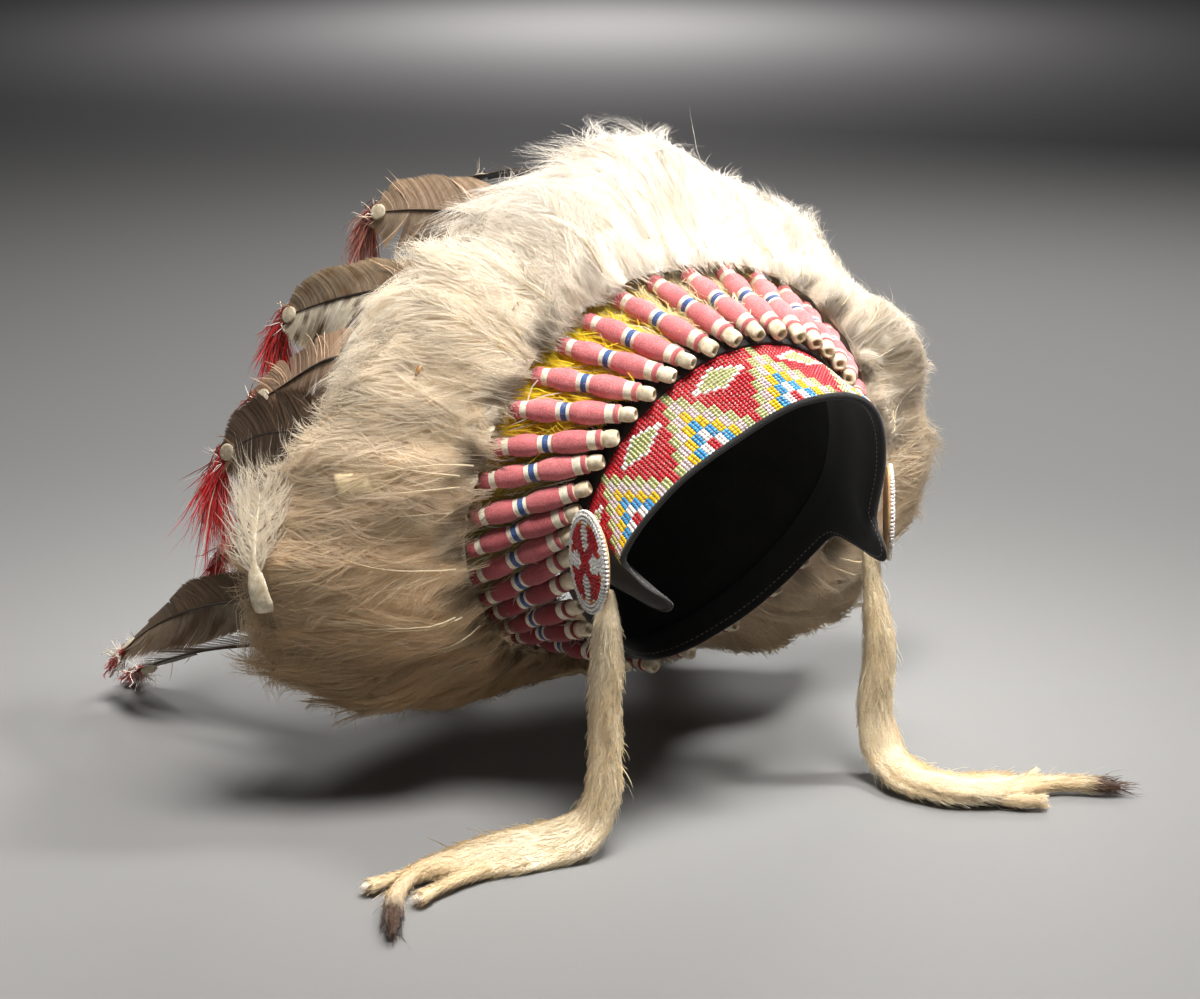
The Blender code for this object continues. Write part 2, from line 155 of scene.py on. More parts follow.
# ---- the crown's lines, in metres: 0 degrees at the forehead, 90 at the wearer's right ear
crown = {
    "centre": np.array((0.0, 0.0012, -0.0968)), "halfWidth": 0.0900, "halfHeight": 0.1033,
    "tilt": math.radians(71.6), "napeNarrowing": 0.238, "napeSweep": 0.0214,
    "quillAngles": (
        0.0, 9.0, 17.7, 26.0, 33.4, 41.5, 49.4, 57.8, 65.8, 74.4,
        81.9, 89.2, 96.6, 105.2, 116.3, 127.5, 144.0, 162.0, 180.0),
    "wrapLength": 0.0610,
    "wrapLean": (   # angle, outward, backward, around
        (0, 0.00, 1.00, 0.00), (30, 0.13, 0.91, 0.40), (60, 0.38, 0.67, 0.64), (90, 0.51, 0.56, 0.65),
        (120, 0.44, 0.72, 0.53), (150, 0.30, 0.91, 0.28), (180, 0.30, 0.95, 0.00)),
}
crownUp = np.array((0.0, -math.cos(crown["tilt"]), math.sin(crown["tilt"])))
crownBack = np.array((0.0, math.sin(crown["tilt"]), math.cos(crown["tilt"])))
leftQuills = [-angle for angle in crown["quillAngles"][1:-1]]


def signed(angle):
    # any angle, brought between -180 and 180
    return (angle + 180) % 360 - 180


def sideSigns(angle):
    # tables give the left side, and the wearer's right is -X
    return np.stack((np.where(angle >= 0, -1.0, 1.0), np.ones_like(angle), np.ones_like(angle)), -1)


def rimPoint(angle):
    turn = np.radians(np.asarray(angle, float))
    height = np.cos(turn)
    nape = 0.5 * (np.sqrt(height * height + 0.01) - height)
    side = -crown["halfWidth"] * np.sin(turn) * (1 - crown["napeNarrowing"] * nape)
    point = crown["centre"] + crownUp * (crown["halfHeight"] * height)[..., None]
    return point + np.stack((side, crown["napeSweep"] * nape * nape, np.zeros_like(side)), -1)


def rimAround(angle):
    angle = np.asarray(angle, float)
    step = np.where(angle >= 0, 0.5, -0.5)
    return unit(rimPoint(angle + step) - rimPoint(angle - step))


def rimOutward(angle):
    outward = np.cross(rimAround(angle), crownBack)
    facing = dot(outward, rimPoint(angle) - crown["centre"])
    return unit(np.where(facing < 0, -outward, outward))


def wrapDirection(angle):
    lean = readTable(crown["wrapLean"], np.abs(angle))
    return unit(rimOutward(angle) * lean[..., :1] + crownBack * lean[..., 1:2]
        + rimAround(angle) * lean[..., 2:])


def wrapEnd(angle):
    return rimPoint(angle) + wrapDirection(angle) * crown["wrapLength"]


# ---- finishes: a colour, often a painted tint, darkened and lightened by grains of several sizes


def makeMaterial(name, colour, roughness, **sockets):
    material = bpy.data.materials.new(name)
    material.use_nodes = True
    shader = material.node_tree.nodes["Principled BSDF"]
    shader.inputs["Base Color"].default_value = (*colour, 1.0)
    shader.inputs["Roughness"].default_value = roughness
    for socket, value in sockets.items():
        shader.inputs[socket.replace("_", " ")].default_value = value
    return material


def addNode(material, kind, **inputs):
    made = material.node_tree.nodes.new("ShaderNode" + kind)
    for name, value in inputs.items():
        if isinstance(value, bpy.types.NodeSocket):
            material.node_tree.links.new(value, made.inputs[name])
        else:
            made.inputs[name].default_value = value
    return made


def noise(material, scale, detail, coarse):
    where = addNode(material, "TexCoord").outputs["Object"]
    made = addNode(material, "TexNoise", Vector=where, Scale=scale, Detail=detail, Roughness=coarse)
    return made.outputs["Fac"]


def twoTones(material, factor, dark, light):
    made = addNode(material, "ValToRGB", Fac=factor)
    for element, (place, colour) in zip(made.color_ramp.elements, (dark, light)):
        element.position = place
        element.color = (*colour, 1.0)
    return made.outputs["Color"]


def multiply(material, first, second):
    made = addNode(material, "Mix")
    made.data_type = "RGBA"
    made.blend_type = "MULTIPLY"
    for name, value in (("Factor", 1.0), ("A", first), ("B", second)):
        socket = [s for s in made.inputs if s.name == name and s.enabled][0]
        if isinstance(value, float):
            socket.default_value = value
        else:
            material.node_tree.links.new(value, socket)
    return [s for s in made.outputs if s.enabled][0]


def grainy(name, colour, roughness, grains, bump=None, tinted=True, **sockets):
    # each grain: scale, detail, coarseness, then where it is dark and light and how much
    material = makeMaterial(name, colour, roughness, **sockets)
    shader = material.node_tree.nodes["Principled BSDF"]
    base = None
    if tinted:
        painted = addNode(material, "Attribute")
        painted.attribute_name = "tint"
        base = painted.outputs["Color"]
    for scale, detail, coarse, dark, light in grains:
        tones = twoTones(material, noise(material, scale, detail, coarse), dark, light)
        base = multiply(material, base, tones) if base is not None else tones
    material.node_tree.links.new(base, shader.inputs["Base Color"])
    if bump:   # scale, detail, coarseness, strength, height
        height = noise(material, *bump[:3])
        relief = addNode(material, "Bump", Height=height, Strength=bump[3], Distance=bump[4])
        material.node_tree.links.new(relief.outputs["Normal"], shader.inputs["Normal"])
    return material


# ---- making meshes: a batch gathers points, faces and tints, and becomes one piece


def newBatch():
    return {"points": [], "tints": [], "normals": [], "faces": {}, "slots": {}, "count": 0}


def addFaces(batch, faces, slot, first=0):
    batch["faces"].setdefault(faces.shape[1], []).append(faces + first)
    batch["slots"].setdefault(faces.shape[1], []).append(np.full(len(faces), slot))


def addPart(batch, points, faces, tints, slot=0, normals=None):
    points = np.asarray(points, float).reshape(-1, 3)
    batch["normals"].append(np.zeros_like(points) if normals is None else normals.reshape(-1, 3))
    tints = np.asarray(tints, float)
    batch["tints"].append(np.broadcast_to(tints, points.shape) if tints.ndim < 2 else tints.reshape(-1, 3))
    for group in faces:
        if len(group):
            addFaces(batch, group, slot, batch["count"])
    batch["points"].append(points)
    batch["count"] += len(points)


def finishPiece(name, batch, materials, node):
    # the batch as one mesh, riding on the root body in the node's place
    faces = [np.concatenate(batch["faces"][k]) for k in sorted(batch["faces"])]
    slots = np.concatenate([np.concatenate(batch["slots"][k]) for k in sorted(batch["faces"])])
    points = np.concatenate(batch["points"]).astype(np.float32)
    corners = np.concatenate([f.ravel() for f in faces]).astype(np.int32)
    sizes = np.concatenate([np.full(len(f), f.shape[1]) for f in faces])
    mesh = bpy.data.meshes.new(name)
    mesh.vertices.add(len(points))
    mesh.vertices.foreach_set("co", points.ravel())
    mesh.loops.add(len(corners))
    mesh.loops.foreach_set("vertex_index", corners)
    mesh.polygons.add(len(sizes))
    mesh.polygons.foreach_set("loop_start", np.concatenate(([0], np.cumsum(sizes)[:-1])).astype(np.int32))
    mesh.update(calc_edges=True)
    mesh.polygons.foreach_set("use_smooth", np.full(len(sizes), True))
    layer = mesh.color_attributes.new("tint", "FLOAT_COLOR", "POINT")
    full = np.ones((len(points), 4), np.float32)
    full[:, :3] = np.concatenate(batch["tints"])
    layer.data.foreach_set("color", full.ravel())
    for material in materials:
        mesh.materials.append(material)
    mesh.polygons.foreach_set("material_index", slots.astype(np.int32))
    given = np.concatenate(batch["normals"])
    if given.any():
        own = np.zeros(len(given) * 3, np.float32)
        mesh.vertices.foreach_get("normal", own)
        shading = unit(np.where(given.any(axis=1, keepdims=True), given, own.reshape(-1, 3)))
        mesh.normals_split_custom_set_from_vertices(shading.astype(np.float32).tolist())
    piece = bpy.data.objects.new(name, mesh)
    bpy.context.scene.collection.objects.link(piece)
    print(" ", name, sum(len(f) * (f.shape[1] - 2) for f in faces), "triangles")
    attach(piece, "root")
    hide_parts(node)
    return piece


def addLoft(batch, rings, tints, slot=0, ringsClosed=False):
    count, sides = rings.shape[:2]
    i = np.arange(count if ringsClosed else count - 1)
    j = np.arange(sides)
    low, high = (i * sides)[:, None], ((i + 1) % count * sides)[:, None]
    quads = np.stack((low + j, low + (j + 1) % sides, high + (j + 1) % sides, high + j), -1).reshape(-1, 4)
    points = rings.reshape(-1, 3)
    tints = np.asarray(tints, float)
    perRing = tints.ndim == 2 and len(tints) == count
    colours = np.broadcast_to(tints[:, None] if perRing else tints, rings.shape).reshape(-1, 3)
    faces = [quads]
    if not ringsClosed:   # both ends are closed by fans
        points = np.concatenate((points, rings[0].mean(0)[None], rings[-1].mean(0)[None]))
        colours = np.concatenate((colours, colours[:1], colours[-1:]))
        n, last = count * sides, (count - 1) * sides
        start = np.stack((np.full(sides, n), (j + 1) % sides, j), -1)
        end = np.stack((np.full(sides, n + 1), last + j, last + (j + 1) % sides), -1)
        faces.append(np.concatenate((start, end)))
    addPart(batch, points, faces, colours, slot)


def addTube(batch, line, radii, sides, tints, slot=0):
    # a closed round rod along a line
    line = np.asarray(line, float)
    radii = np.broadcast_to(np.asarray(radii, float), (len(line),))
    tangent = unit(np.gradient(line, axis=0))
    side = unit(np.cross(tangent, (0.0, 0.0, 1.0)) + 1e-6)
    ring = spokes(side, np.cross(side, tangent), np.linspace(0, fullTurn, sides, endpoint=False))
    addLoft(batch, line[:, None] + ring * radii[:, None, None], tints, slot)


def addStrands(batch, paths, widths, facing, tints, roll=0.5, slot=0, soft=None):
    # flat tapering strands that end in a point; soft ones are shaded as the surface they lie on
    count, steps = paths.shape[:2]
    tangent = unit(np.gradient(paths, axis=1))
    facing = np.broadcast_to(facing if facing.ndim == 3 else facing[:, None], tangent.shape)
    side = unit(np.cross(tangent, facing))
    normal = np.cross(side, tangent)
    turn = (rng.uniform(-1, 1, (count, 1, 1)) * roll)
    lean = side * np.clip(rng.normal(0, 0.35, (count, 1, 1)), -0.8, 0.8)
    side = side * np.cos(turn) + normal * np.sin(turn)
    half = (widths / 2)[..., None]
    edges = np.stack(((paths - side * half)[:, :-1], (paths + side * half)[:, :-1]), 2)
    points = np.concatenate((edges.reshape(count, -1, 3), paths[:, -1:]), 1)
    base = (np.arange(count) * points.shape[1])[:, None]
    quads = [base + np.array((2 * j, 2 * j + 1, 2 * j + 3, 2 * j + 2)) for j in range(steps - 2)]
    tips = base + 2 * (steps - 2) + np.arange(3)
    if tints.ndim == 2:
        tints = np.repeat(tints[:, None], steps, 1)

    def perPoint(values):
        return np.concatenate((np.repeat(values[:, :-1], 2, 1), values[:, -1:]), 1)

    shading = None
    if soft is not None:
        shading = perPoint(unit(normal * (1 - soft) + facing * soft + lean * 0.4))
    addPart(batch, points, [np.concatenate(quads), tips], perPoint(tints).reshape(-1, 3), slot, shading)


def recalculate(piece):
    bpy.ops.object.select_all(action="DESELECT")
    piece.select_set(True)
    bpy.context.view_layer.objects.active = piece
    bpy.ops.object.mode_set(mode="EDIT")
    bpy.ops.mesh.select_all(action="SELECT")
    bpy.ops.mesh.normals_make_consistent(inside=False)
    bpy.ops.object.mode_set(mode="OBJECT")
    piece.select_set(False)


def handModelled():
    # takes the active primitive's mesh as plain arrays and removes the object
    piece = bpy.context.object
    points = np.array([v.co for v in piece.data.vertices])
    points = points @ np.array(piece.matrix_world.to_3x3()).T + np.array(piece.location)
    groups = {}
    for face in piece.data.polygons:
        groups.setdefault(len(face.vertices), []).append(tuple(face.vertices))
    bpy.data.objects.remove(piece)
    return points, [np.array(groups[k]) for k in sorted(groups)]

# ---- black felt: the cap and the band behind the beads
felt = {
    "capInset": 0.0052, "capWall": 0.0020, "capDepth": 0.0950, "capStitch": 0.0032,
    "seamDepth": (0.0009, 0.0006),
    "bandInset": 0.0068, "beadDepth": 0.0022, "bandWidth": 0.0444, "bandEnd": 83.0, "gap": 0.0004,
    "wall": 0.0015,
    "tuck": 0.0120, "front": 0.0478, "hem": 0.0026, "bandStitch": 0.0030, "stitchIn": 0.0045,
    "colour": (0.012, 0.011, 0.011), "threadColour": (0.32, 0.29, 0.24),
    "reach": (   # angle, how far the felt comes forward past the beads' end
        (83.5, 0.0500), (84.2, 0.0550), (85.2, 0.0600), (86.5, 0.0638), (88.5, 0.0660), (91, 0.0668),
        (93.5, 0.0664), (95.5, 0.0645), (97, 0.0605), (98.4, 0.0520), (99.8, 0.0380), (102.5, 0.0190),
        (110, 0.0120), (122, 0.0100), (136, 0.0090), (150, 0.0080), (165, 0.0080), (180, 0.0080)),
    "lean": (    # angle, the band's slope away from the head
        (-180, 0.00), (-115, 0.00), (-98, -0.20), (-80, -0.30), (-60, -0.19), (-30, 0.02), (0, -0.08),
        (30, -0.15),
        (60, 0.10), (80, 0.26), (84, 0.17), (88, -0.02), (92, -0.10), (98, -0.08), (106, 0.00),
        (180, 0.00)),
}
blackFelt = grainy("blackFelt", felt["colour"], 0.95, (
    (900.0, 4.0, 0.7, (0.3, [c * 0.55 for c in felt["colour"]]), (0.7, [c * 1.7 for c in felt["colour"]])),
    (45.0, 2.0, 0.6, (0.35, (0.75, 0.75, 0.75)), (0.7, (1.3, 1.27, 1.2)))),
    bump=(900.0, 4.0, 0.7, 0.6, 0.0005), tinted=False, Sheen_Weight=0.25, Sheen_Roughness=0.5)
paleThread = grainy("paleThread", felt["threadColour"], 0.8, (
    (1600.0, 3.0, 0.6, (0.3, (0.22, 0.19, 0.15)), (0.7, (0.42, 0.39, 0.33))),), tinted=False)


def bandForward(angle):
    return unit(rimOutward(angle) * readTable(felt["lean"], angle) - crownBack)


def bandPoint(angle, reach, inset):
    reach = (np.asarray(reach, float) + np.zeros_like(angle))[..., None]
    inset = (np.asarray(inset, float) + np.zeros_like(angle))[..., None]
    top = rimPoint(angle) - rimOutward(angle) * inset
    return np.where(reach < 0, top - crownBack * reach, top + bandForward(angle) * reach)


def stitches(batch, line, pitch, slot, radius=0.00028):
    # a running stitch: short rounded lengths of thread along a line, each over four fifths of its pitch
    run = runOf(line)
    stops = np.linspace(0, run[-1], max(int(run[-1] / (pitch / 5)) + 1, 2))
    stops = alongLine(run, line, stops)
    for i in range(0, len(stops) - 4, 5):
        addTube(batch, stops[i:i + 4], (radius * 0.4, radius, radius, radius * 0.4), 5, (1, 1, 1), slot)


def buildCap():
    angles = np.linspace(-180, 180, 96, endpoint=False)
    rises = np.radians(np.linspace(0, 86, 22))
    wall, depth = felt["capWall"], felt["capDepth"]
    shells = []
    for inset, height in ((felt["capInset"], depth + wall), (felt["capInset"] + wall, depth)):
        rim = rimPoint(angles) - rimOutward(angles) * inset - crown["centre"]
        rows = [crown["centre"] + crownBack * (height * math.sin(r)) + rim * math.cos(r) ** 0.8
            for r in rises]
        shells.append(np.array(rows))
    # four gores: shallow seams from the rim to the crown
    seam = np.exp(-((((angles + 45) % 90) - 45) / 2.2) ** 2)[None, :, None]
    seam = unit(crown["centre"] + crownBack * 0.03 - shells[0]) * seam
    outer, inner = (shell + seam * sunk for shell, sunk in zip(shells, felt["seamDepth"]))
    section = np.concatenate((outer[::-1], inner)).transpose(1, 0, 2)
    poles = [shell[-1].mean(0)[None] + crownBack * 0.0003 for shell in (outer, inner)]
    count, rings = section.shape[:2]
    low, high = (np.arange(count) * rings)[:, None], ((np.arange(count) + 1) % count * rings)[:, None]
    j = np.arange(rings - 1)
    quads = np.stack((low + j, high + j, high + j + 1, low + j + 1), -1).reshape(-1, 4)
    n = count * rings
    first = np.stack((low[:, 0], np.full(count, n), high[:, 0]), -1)
    last = np.stack((high[:, 0] + rings - 1, np.full(count, n + 1), low[:, 0] + rings - 1), -1)
    batch = newBatch()
    faces = [quads, np.concatenate((first, last))]
    addPart(batch, np.concatenate((section.reshape(-1, 3), *poles)), faces, (1, 1, 1))
    for quarter in range(4):   # two rows of stitches beside each seam
        for side in (-2, 2):
            line = outer[1:-1, (quarter * count // 4 + side) % count]
            stitches(batch, line + unit(line - crown["centre"]) * 0.0002, felt["capStitch"], 1)
    recalculate(finishPiece("feltCap", batch, [blackFelt, paleThread], "skull_cap"))


def buildFeltBand():
    gap, tuck, soft = felt["gap"], felt["tuck"], 0.0005
    outer = felt["bandInset"] + felt["beadDepth"] + gap
    inner = outer + felt["wall"]
    fine = np.concatenate((np.arange(84.2, 104, 0.6), np.arange(104, 180, 2.0)))
    right = np.concatenate((np.arange(0, 83.01, 1.66), fine))
    angles = np.concatenate((right, [180.0], -right[:0:-1]))
    behind = np.abs(angles) <= felt["bandEnd"] + 0.1
    reach = np.where(behind, felt["front"], readTable(felt["reach"], np.abs(angles))[..., 0])
    edge = np.where(behind, felt["bandWidth"] + gap, reach - felt["hem"])
    lip = np.where(behind, felt["bandInset"] + gap, outer)
    profile = (
        (-tuck, inner - 0.0004), (-tuck - soft, (inner + outer) / 2), (-tuck, outer + 0.0004), (0, outer),
        (edge * 0.5, outer), (edge, outer), (edge + gap, lip + soft), (edge + gap + soft, lip),
        (reach - soft, lip), (reach, lip + soft), (reach, inner - soft), (reach - soft, inner),
        (edge * 0.5, inner), (0, inner))
    batch = newBatch()
    rings = np.stack([bandPoint(angles, along, inset) for along, inset in profile], 1)
    addLoft(batch, rings, (1, 1, 1), ringsClosed=True)
    seam = bandPoint(angles, reach - felt["stitchIn"], inner + 0.0001)
    stitches(batch, np.concatenate((seam, seam[:1])), felt["bandStitch"], 1, 0.00022)
    recalculate(finishPiece("feltBand", batch, [blackFelt, paleThread], "felt_band"))


buildCap()
buildFeltBand()
print("felt done")

# ---- glass seed beads
beads = {
    "rowPitch": 0.00195, "radius": 0.00092, "length": 0.00206, "rows": 24, "columns": 120, "shift": 1,
    "endRadius": 0.56, "swell": 1.80, "endShade": 0.74, "wander": 0.00018, "warp": 0.00022,
    "warpColour": (0.55, 0.42, 0.34), "cloth": (0.22, 0.10, 0.09),
    "red": (0.56, 0.008, 0.022), "green": (0.15, 0.23, 0.025), "glow": (0.80, 0.77, 0.42),
    "pink": (0.70, 0.58, 0.60), "yellow": (0.92, 0.58, 0.006), "blue": (0.045, 0.33, 0.68),
    "white": (0.95, 0.93, 0.90), "orange": (0.80, 0.22, 0.02),
    "colourSpread": 0.096, "sizeSpread": 0.05, "jitter": 0.00008,
}
glassBeads = grainy("glassBeads", (1, 1, 1), 0.16, (
    (700.0, 3.0, 0.6, (0.25, (0.80, 0.80, 0.80)), (0.75, (1.12, 1.12, 1.12))),),
    Specular_IOR_Level=0.6, Coat_Weight=0.35, Coat_Roughness=0.08)
beadThread = grainy("beadThread", (0.45, 0.40, 0.30), 0.75, (
    (1500.0, 3.0, 0.6, (0.3, (0.6, 0.6, 0.6)), (0.7, (1.2, 1.2, 1.2))),))


def selectOnly(kind):
    bpy.ops.object.mode_set(mode="EDIT")
    bpy.ops.mesh.select_mode(type=kind)
    bpy.ops.mesh.select_all(action="DESELECT")
    bpy.ops.object.mode_set(mode="OBJECT")


def modelBead():
    # a barrel: a cylinder whose sides are cut once and pushed out in the middle
    bpy.ops.mesh.primitive_cylinder_add(
        vertices=7, radius=beads["radius"] * beads["endRadius"], depth=beads["length"])
    mesh = bpy.context.object.data
    selectOnly("EDGE")
    for edge in mesh.edges:
        a, b = (mesh.vertices[i].co for i in edge.vertices)
        edge.select = abs(a.z - b.z) > beads["length"] / 2
    bpy.ops.object.mode_set(mode="EDIT")
    bpy.ops.mesh.subdivide(number_cuts=1)
    selectOnly("VERT")
    for vertex in mesh.vertices:
        vertex.select = abs(vertex.co.z) < beads["length"] * 0.1
    bpy.ops.object.mode_set(mode="EDIT")
    bpy.ops.transform.resize(value=(beads["swell"], beads["swell"], 1.0))
    bpy.ops.object.mode_set(mode="OBJECT")
    return handModelled()


beadPoints, beadFaces = modelBead()


def addBeads(batch, centres, axes, outs, colours, glow=0.0):
    # one modelled bead copied to every place
    count, per = len(centres), len(beadPoints)
    sides = unit(np.cross(axes, outs))
    outs = np.cross(sides, axes)
    local = beadPoints[None] * (1 + rng.uniform(-1, 1, (count, 1, 1)) * beads["sizeSpread"])
    places = (centres + rng.uniform(-1, 1, (count, 3)) * beads["jitter"])[:, None]
    points = places + sides[:, None] * local[..., :1] + outs[:, None] * local[..., 1:2]
    points = points + axes[:, None] * local[..., 2:]
    shade = np.clip(1 + rng.normal(0, 1, (count, 1)) * beads["colourSpread"], 0.6, 1.4)
    ends = np.abs(beadPoints[:, 2]) > beads["length"] * 0.3
    tints = (colours * shade)[:, None] * np.where(ends, beads["endShade"], 1.0)[None, :, None]
    # green glass lets its pale thread show at the ends
    share = (np.where(ends, 1.0, 0.12)[None, :] * np.broadcast_to(glow, count)[:, None])[..., None]
    tints = mix(tints, beads["glow"], share)
    base = (np.arange(count) * per)[:, None, None]
    faces = [(f[None] + base).reshape(-1, f.shape[1]) for f in beadFaces]
    addPart(batch, points.reshape(-1, 3), faces, tints.reshape(-1, 3))


def chartColour(column, row):
    # stepped triangles and diamonds, read in blocks of 2 columns and 4 rows
    place = (column + 12) % 24 - 12
    block = int((abs(place + 0.5) + 1) // 2)
    level = row // 4 - block
    step = 6 - block
    if step < 4:
        top, bottom = step + 2, 9 - step
        if top <= row <= bottom:
            return "white" if step == 3 or row in (top, bottom) else "green"
    if level < 0:
        return "red"
    return ("green", "pink", "yellow", "blue", "white", "red")[min(level, 5)]


def buildBrowBand():
    count, width = beads["columns"], beads["rows"] * beads["rowPitch"]
    fine = np.linspace(-felt["bandEnd"], felt["bandEnd"], 800)
    run = runOf(bandPoint(fine, felt["bandWidth"] / 2, felt["bandInset"]))
    print("  bead column pitch", round(run[-1] / count * 1000, 2), "mm")
    grids = np.meshgrid(np.arange(count), np.arange(beads["rows"]), indexing="ij")
    columns, rows = (grid.ravel() for grid in grids)
    angles = np.interp((columns + 0.5) / count * run[-1], run, fine)
    reach = (rows + 0.5) * beads["rowPitch"]
    wave = smoothNoise(5, 5, 0.5, 1.5)
    inset = felt["bandInset"] + beads["radius"] + beads["wander"] * wave(angles * 0.15, rows * 0.35)
    axes = unit(bandPoint(angles + 0.4, reach, inset) - bandPoint(angles - 0.4, reach, inset))
    outs = unit(np.cross(axes, bandForward(angles)))
    outs = np.where(dot(outs, rimOutward(angles)) < 0, -outs, outs)
    names = [chartColour(c - count // 2 - beads["shift"], row) for c, row in zip(columns, rows)]
    glow = np.array([0.95 if name == "green" else 0.0 for name in names])
    batch = newBatch()
    addBeads(batch, bandPoint(angles, reach, inset), axes, outs,
        np.array([beads[name] for name in names]), glow)
    # warp threads between the columns
    for angle in np.interp(np.arange(count + 1) / count * run[-1], run, fine):
        t = np.linspace(0, 1, 13)
        line = bandPoint(np.full(13, angle), t * width, felt["bandInset"] + beads["radius"] * 1.15)
        addTube(batch, line, beads["warp"], 4, beads["warpColour"], 1)
    # the cloth that the beads are sewn to
    t = np.linspace(-felt["bandEnd"], felt["bandEnd"], 84)
    deep, back = felt["bandInset"] + beads["radius"] * 1.5, felt["bandInset"] + felt["beadDepth"]
    corners = [(along, deep) for along in (0.0004, width * 0.5, width)]
    corners += [(along, back) for along in (width, width * 0.5, 0.0004)]
    addLoft(batch, np.stack([bandPoint(t, along, inset) for along, inset in corners], 1), beads["cloth"], 1)
    finishPiece("beadedBrowBand", batch, [glassBeads, beadThread], "brow_band")


buildBrowBand()
print("brow band done")

# ---- beaded rosettes on a hide backing
rosettes = {
    "radius": 0.0250, "thickness": 0.0032, "beadPitch": 0.00212, "ringPitch": 0.00188, "edgePitch": 0.0021,
    "right": ((-0.0990, -0.0305, -0.0998), (-0.97, 0.235, 0.0), 8.0),   # centre, facing, turned by
    "left": ((0.1010, -0.0155, -0.1100), (0.80, -0.60, 0.0), -8.0),
    "backing": (   # depth as a share of half the thickness, share of the radius
        (-1.0, 0.20), (-1.0, 0.94), (-0.6, 0.985), (0.125, 0.985), (0.375, 0.94), (0.5, 0.2)),
}


def hideMaterial(name, dark, light):
    return grainy(name, light, 0.85, ((220.0, 5.0, 0.65, (0.32, dark), (0.68, light)),),
                  bump=(1100.0, 4.0, 0.6, 0.5, 0.0004), tinted=False)


tannedHide = hideMaterial("tannedHide", (0.36, 0.20, 0.08), (0.62, 0.42, 0.21))
paleHide = hideMaterial("paleHide", (0.46, 0.36, 0.22), (0.86, 0.77, 0.60))


def rosetteColour(turn, share, ring):
    # four white petals in a red field, orange marks where the border begins
    quarter = math.pi / 2
    aside = abs((turn + quarter / 2) % quarter - quarter / 2)
    if ring >= 11 or share > 0.86:
        return "white"
    if share > 0.74:
        return "orange" if 0.20 < aside < 0.40 else ("red" if aside > 0.46 and share < 0.80 else "white")
    petal = 0.205 * math.sin(math.pi * min(max((share - 0.20) / 0.64, 0), 1))
    return "white" if aside * share < petal else "red"


def buildRosette(name, centre, facing, spin, node):
    radius, half = rosettes["radius"], rosettes["thickness"] / 2
    centre, facing = np.array(centre), unit(np.array(facing))
    across = unit(np.cross(facing, (0.0, 0.0, 1.0)))
    upward = np.cross(across, facing)
    batch = newBatch()
    turns = np.linspace(0, fullTurn, 48, endpoint=False)
    ring = across * np.cos(turns)[:, None] + upward * np.sin(turns)[:, None]
    ring = ring * (1 + 0.012 * np.sin(turns * 5 + 1)[:, None])
    rings = [centre + facing * depth * half + ring * radius * share for depth, share in rosettes["backing"]]
    addLoft(batch, np.array(rings), (1, 1, 1), 1)
    rows = []
    for k in range(int(radius / rosettes["ringPitch"])):
        away = rosettes["ringPitch"] * (k + 0.25) if k else 0.0
        number = max(int(round(fullTurn * away / rosettes["beadPitch"])), 1)
        dome = 0.0009 * (1 - (away / radius) ** 2)
        for i in range(number):
            turn = fullTurn * i / number + k * 0.37
            out = across * math.cos(turn) + upward * math.sin(turn)
            colour = beads[rosetteColour(turn + math.radians(spin), away / radius, k)]
            rows.append((centre + out * away + facing * (half - 0.0004 + dome), np.cross(facing, out),
                facing, colour))
    number = int(fullTurn * radius / rosettes["edgePitch"])
    for i in range(number):   # the edge row stands across the rim
        turn = fullTurn * i / number
        out = across * math.cos(turn) + upward * math.sin(turn)
        rows.append((centre + out * radius * 0.985 + facing * 0.0006, unit(facing + out * 0.2), out,
            beads["white"]))
    addBeads(batch, *(np.array(column) for column in zip(*rows)))
    finishPiece(name, batch, [glassBeads, tannedHide], node)


buildRosette("rosetteRight", *rosettes["right"], "rosette_right")
buildRosette("rosetteLeft", *rosettes["left"], "rosette_left")
print("rosettes done")

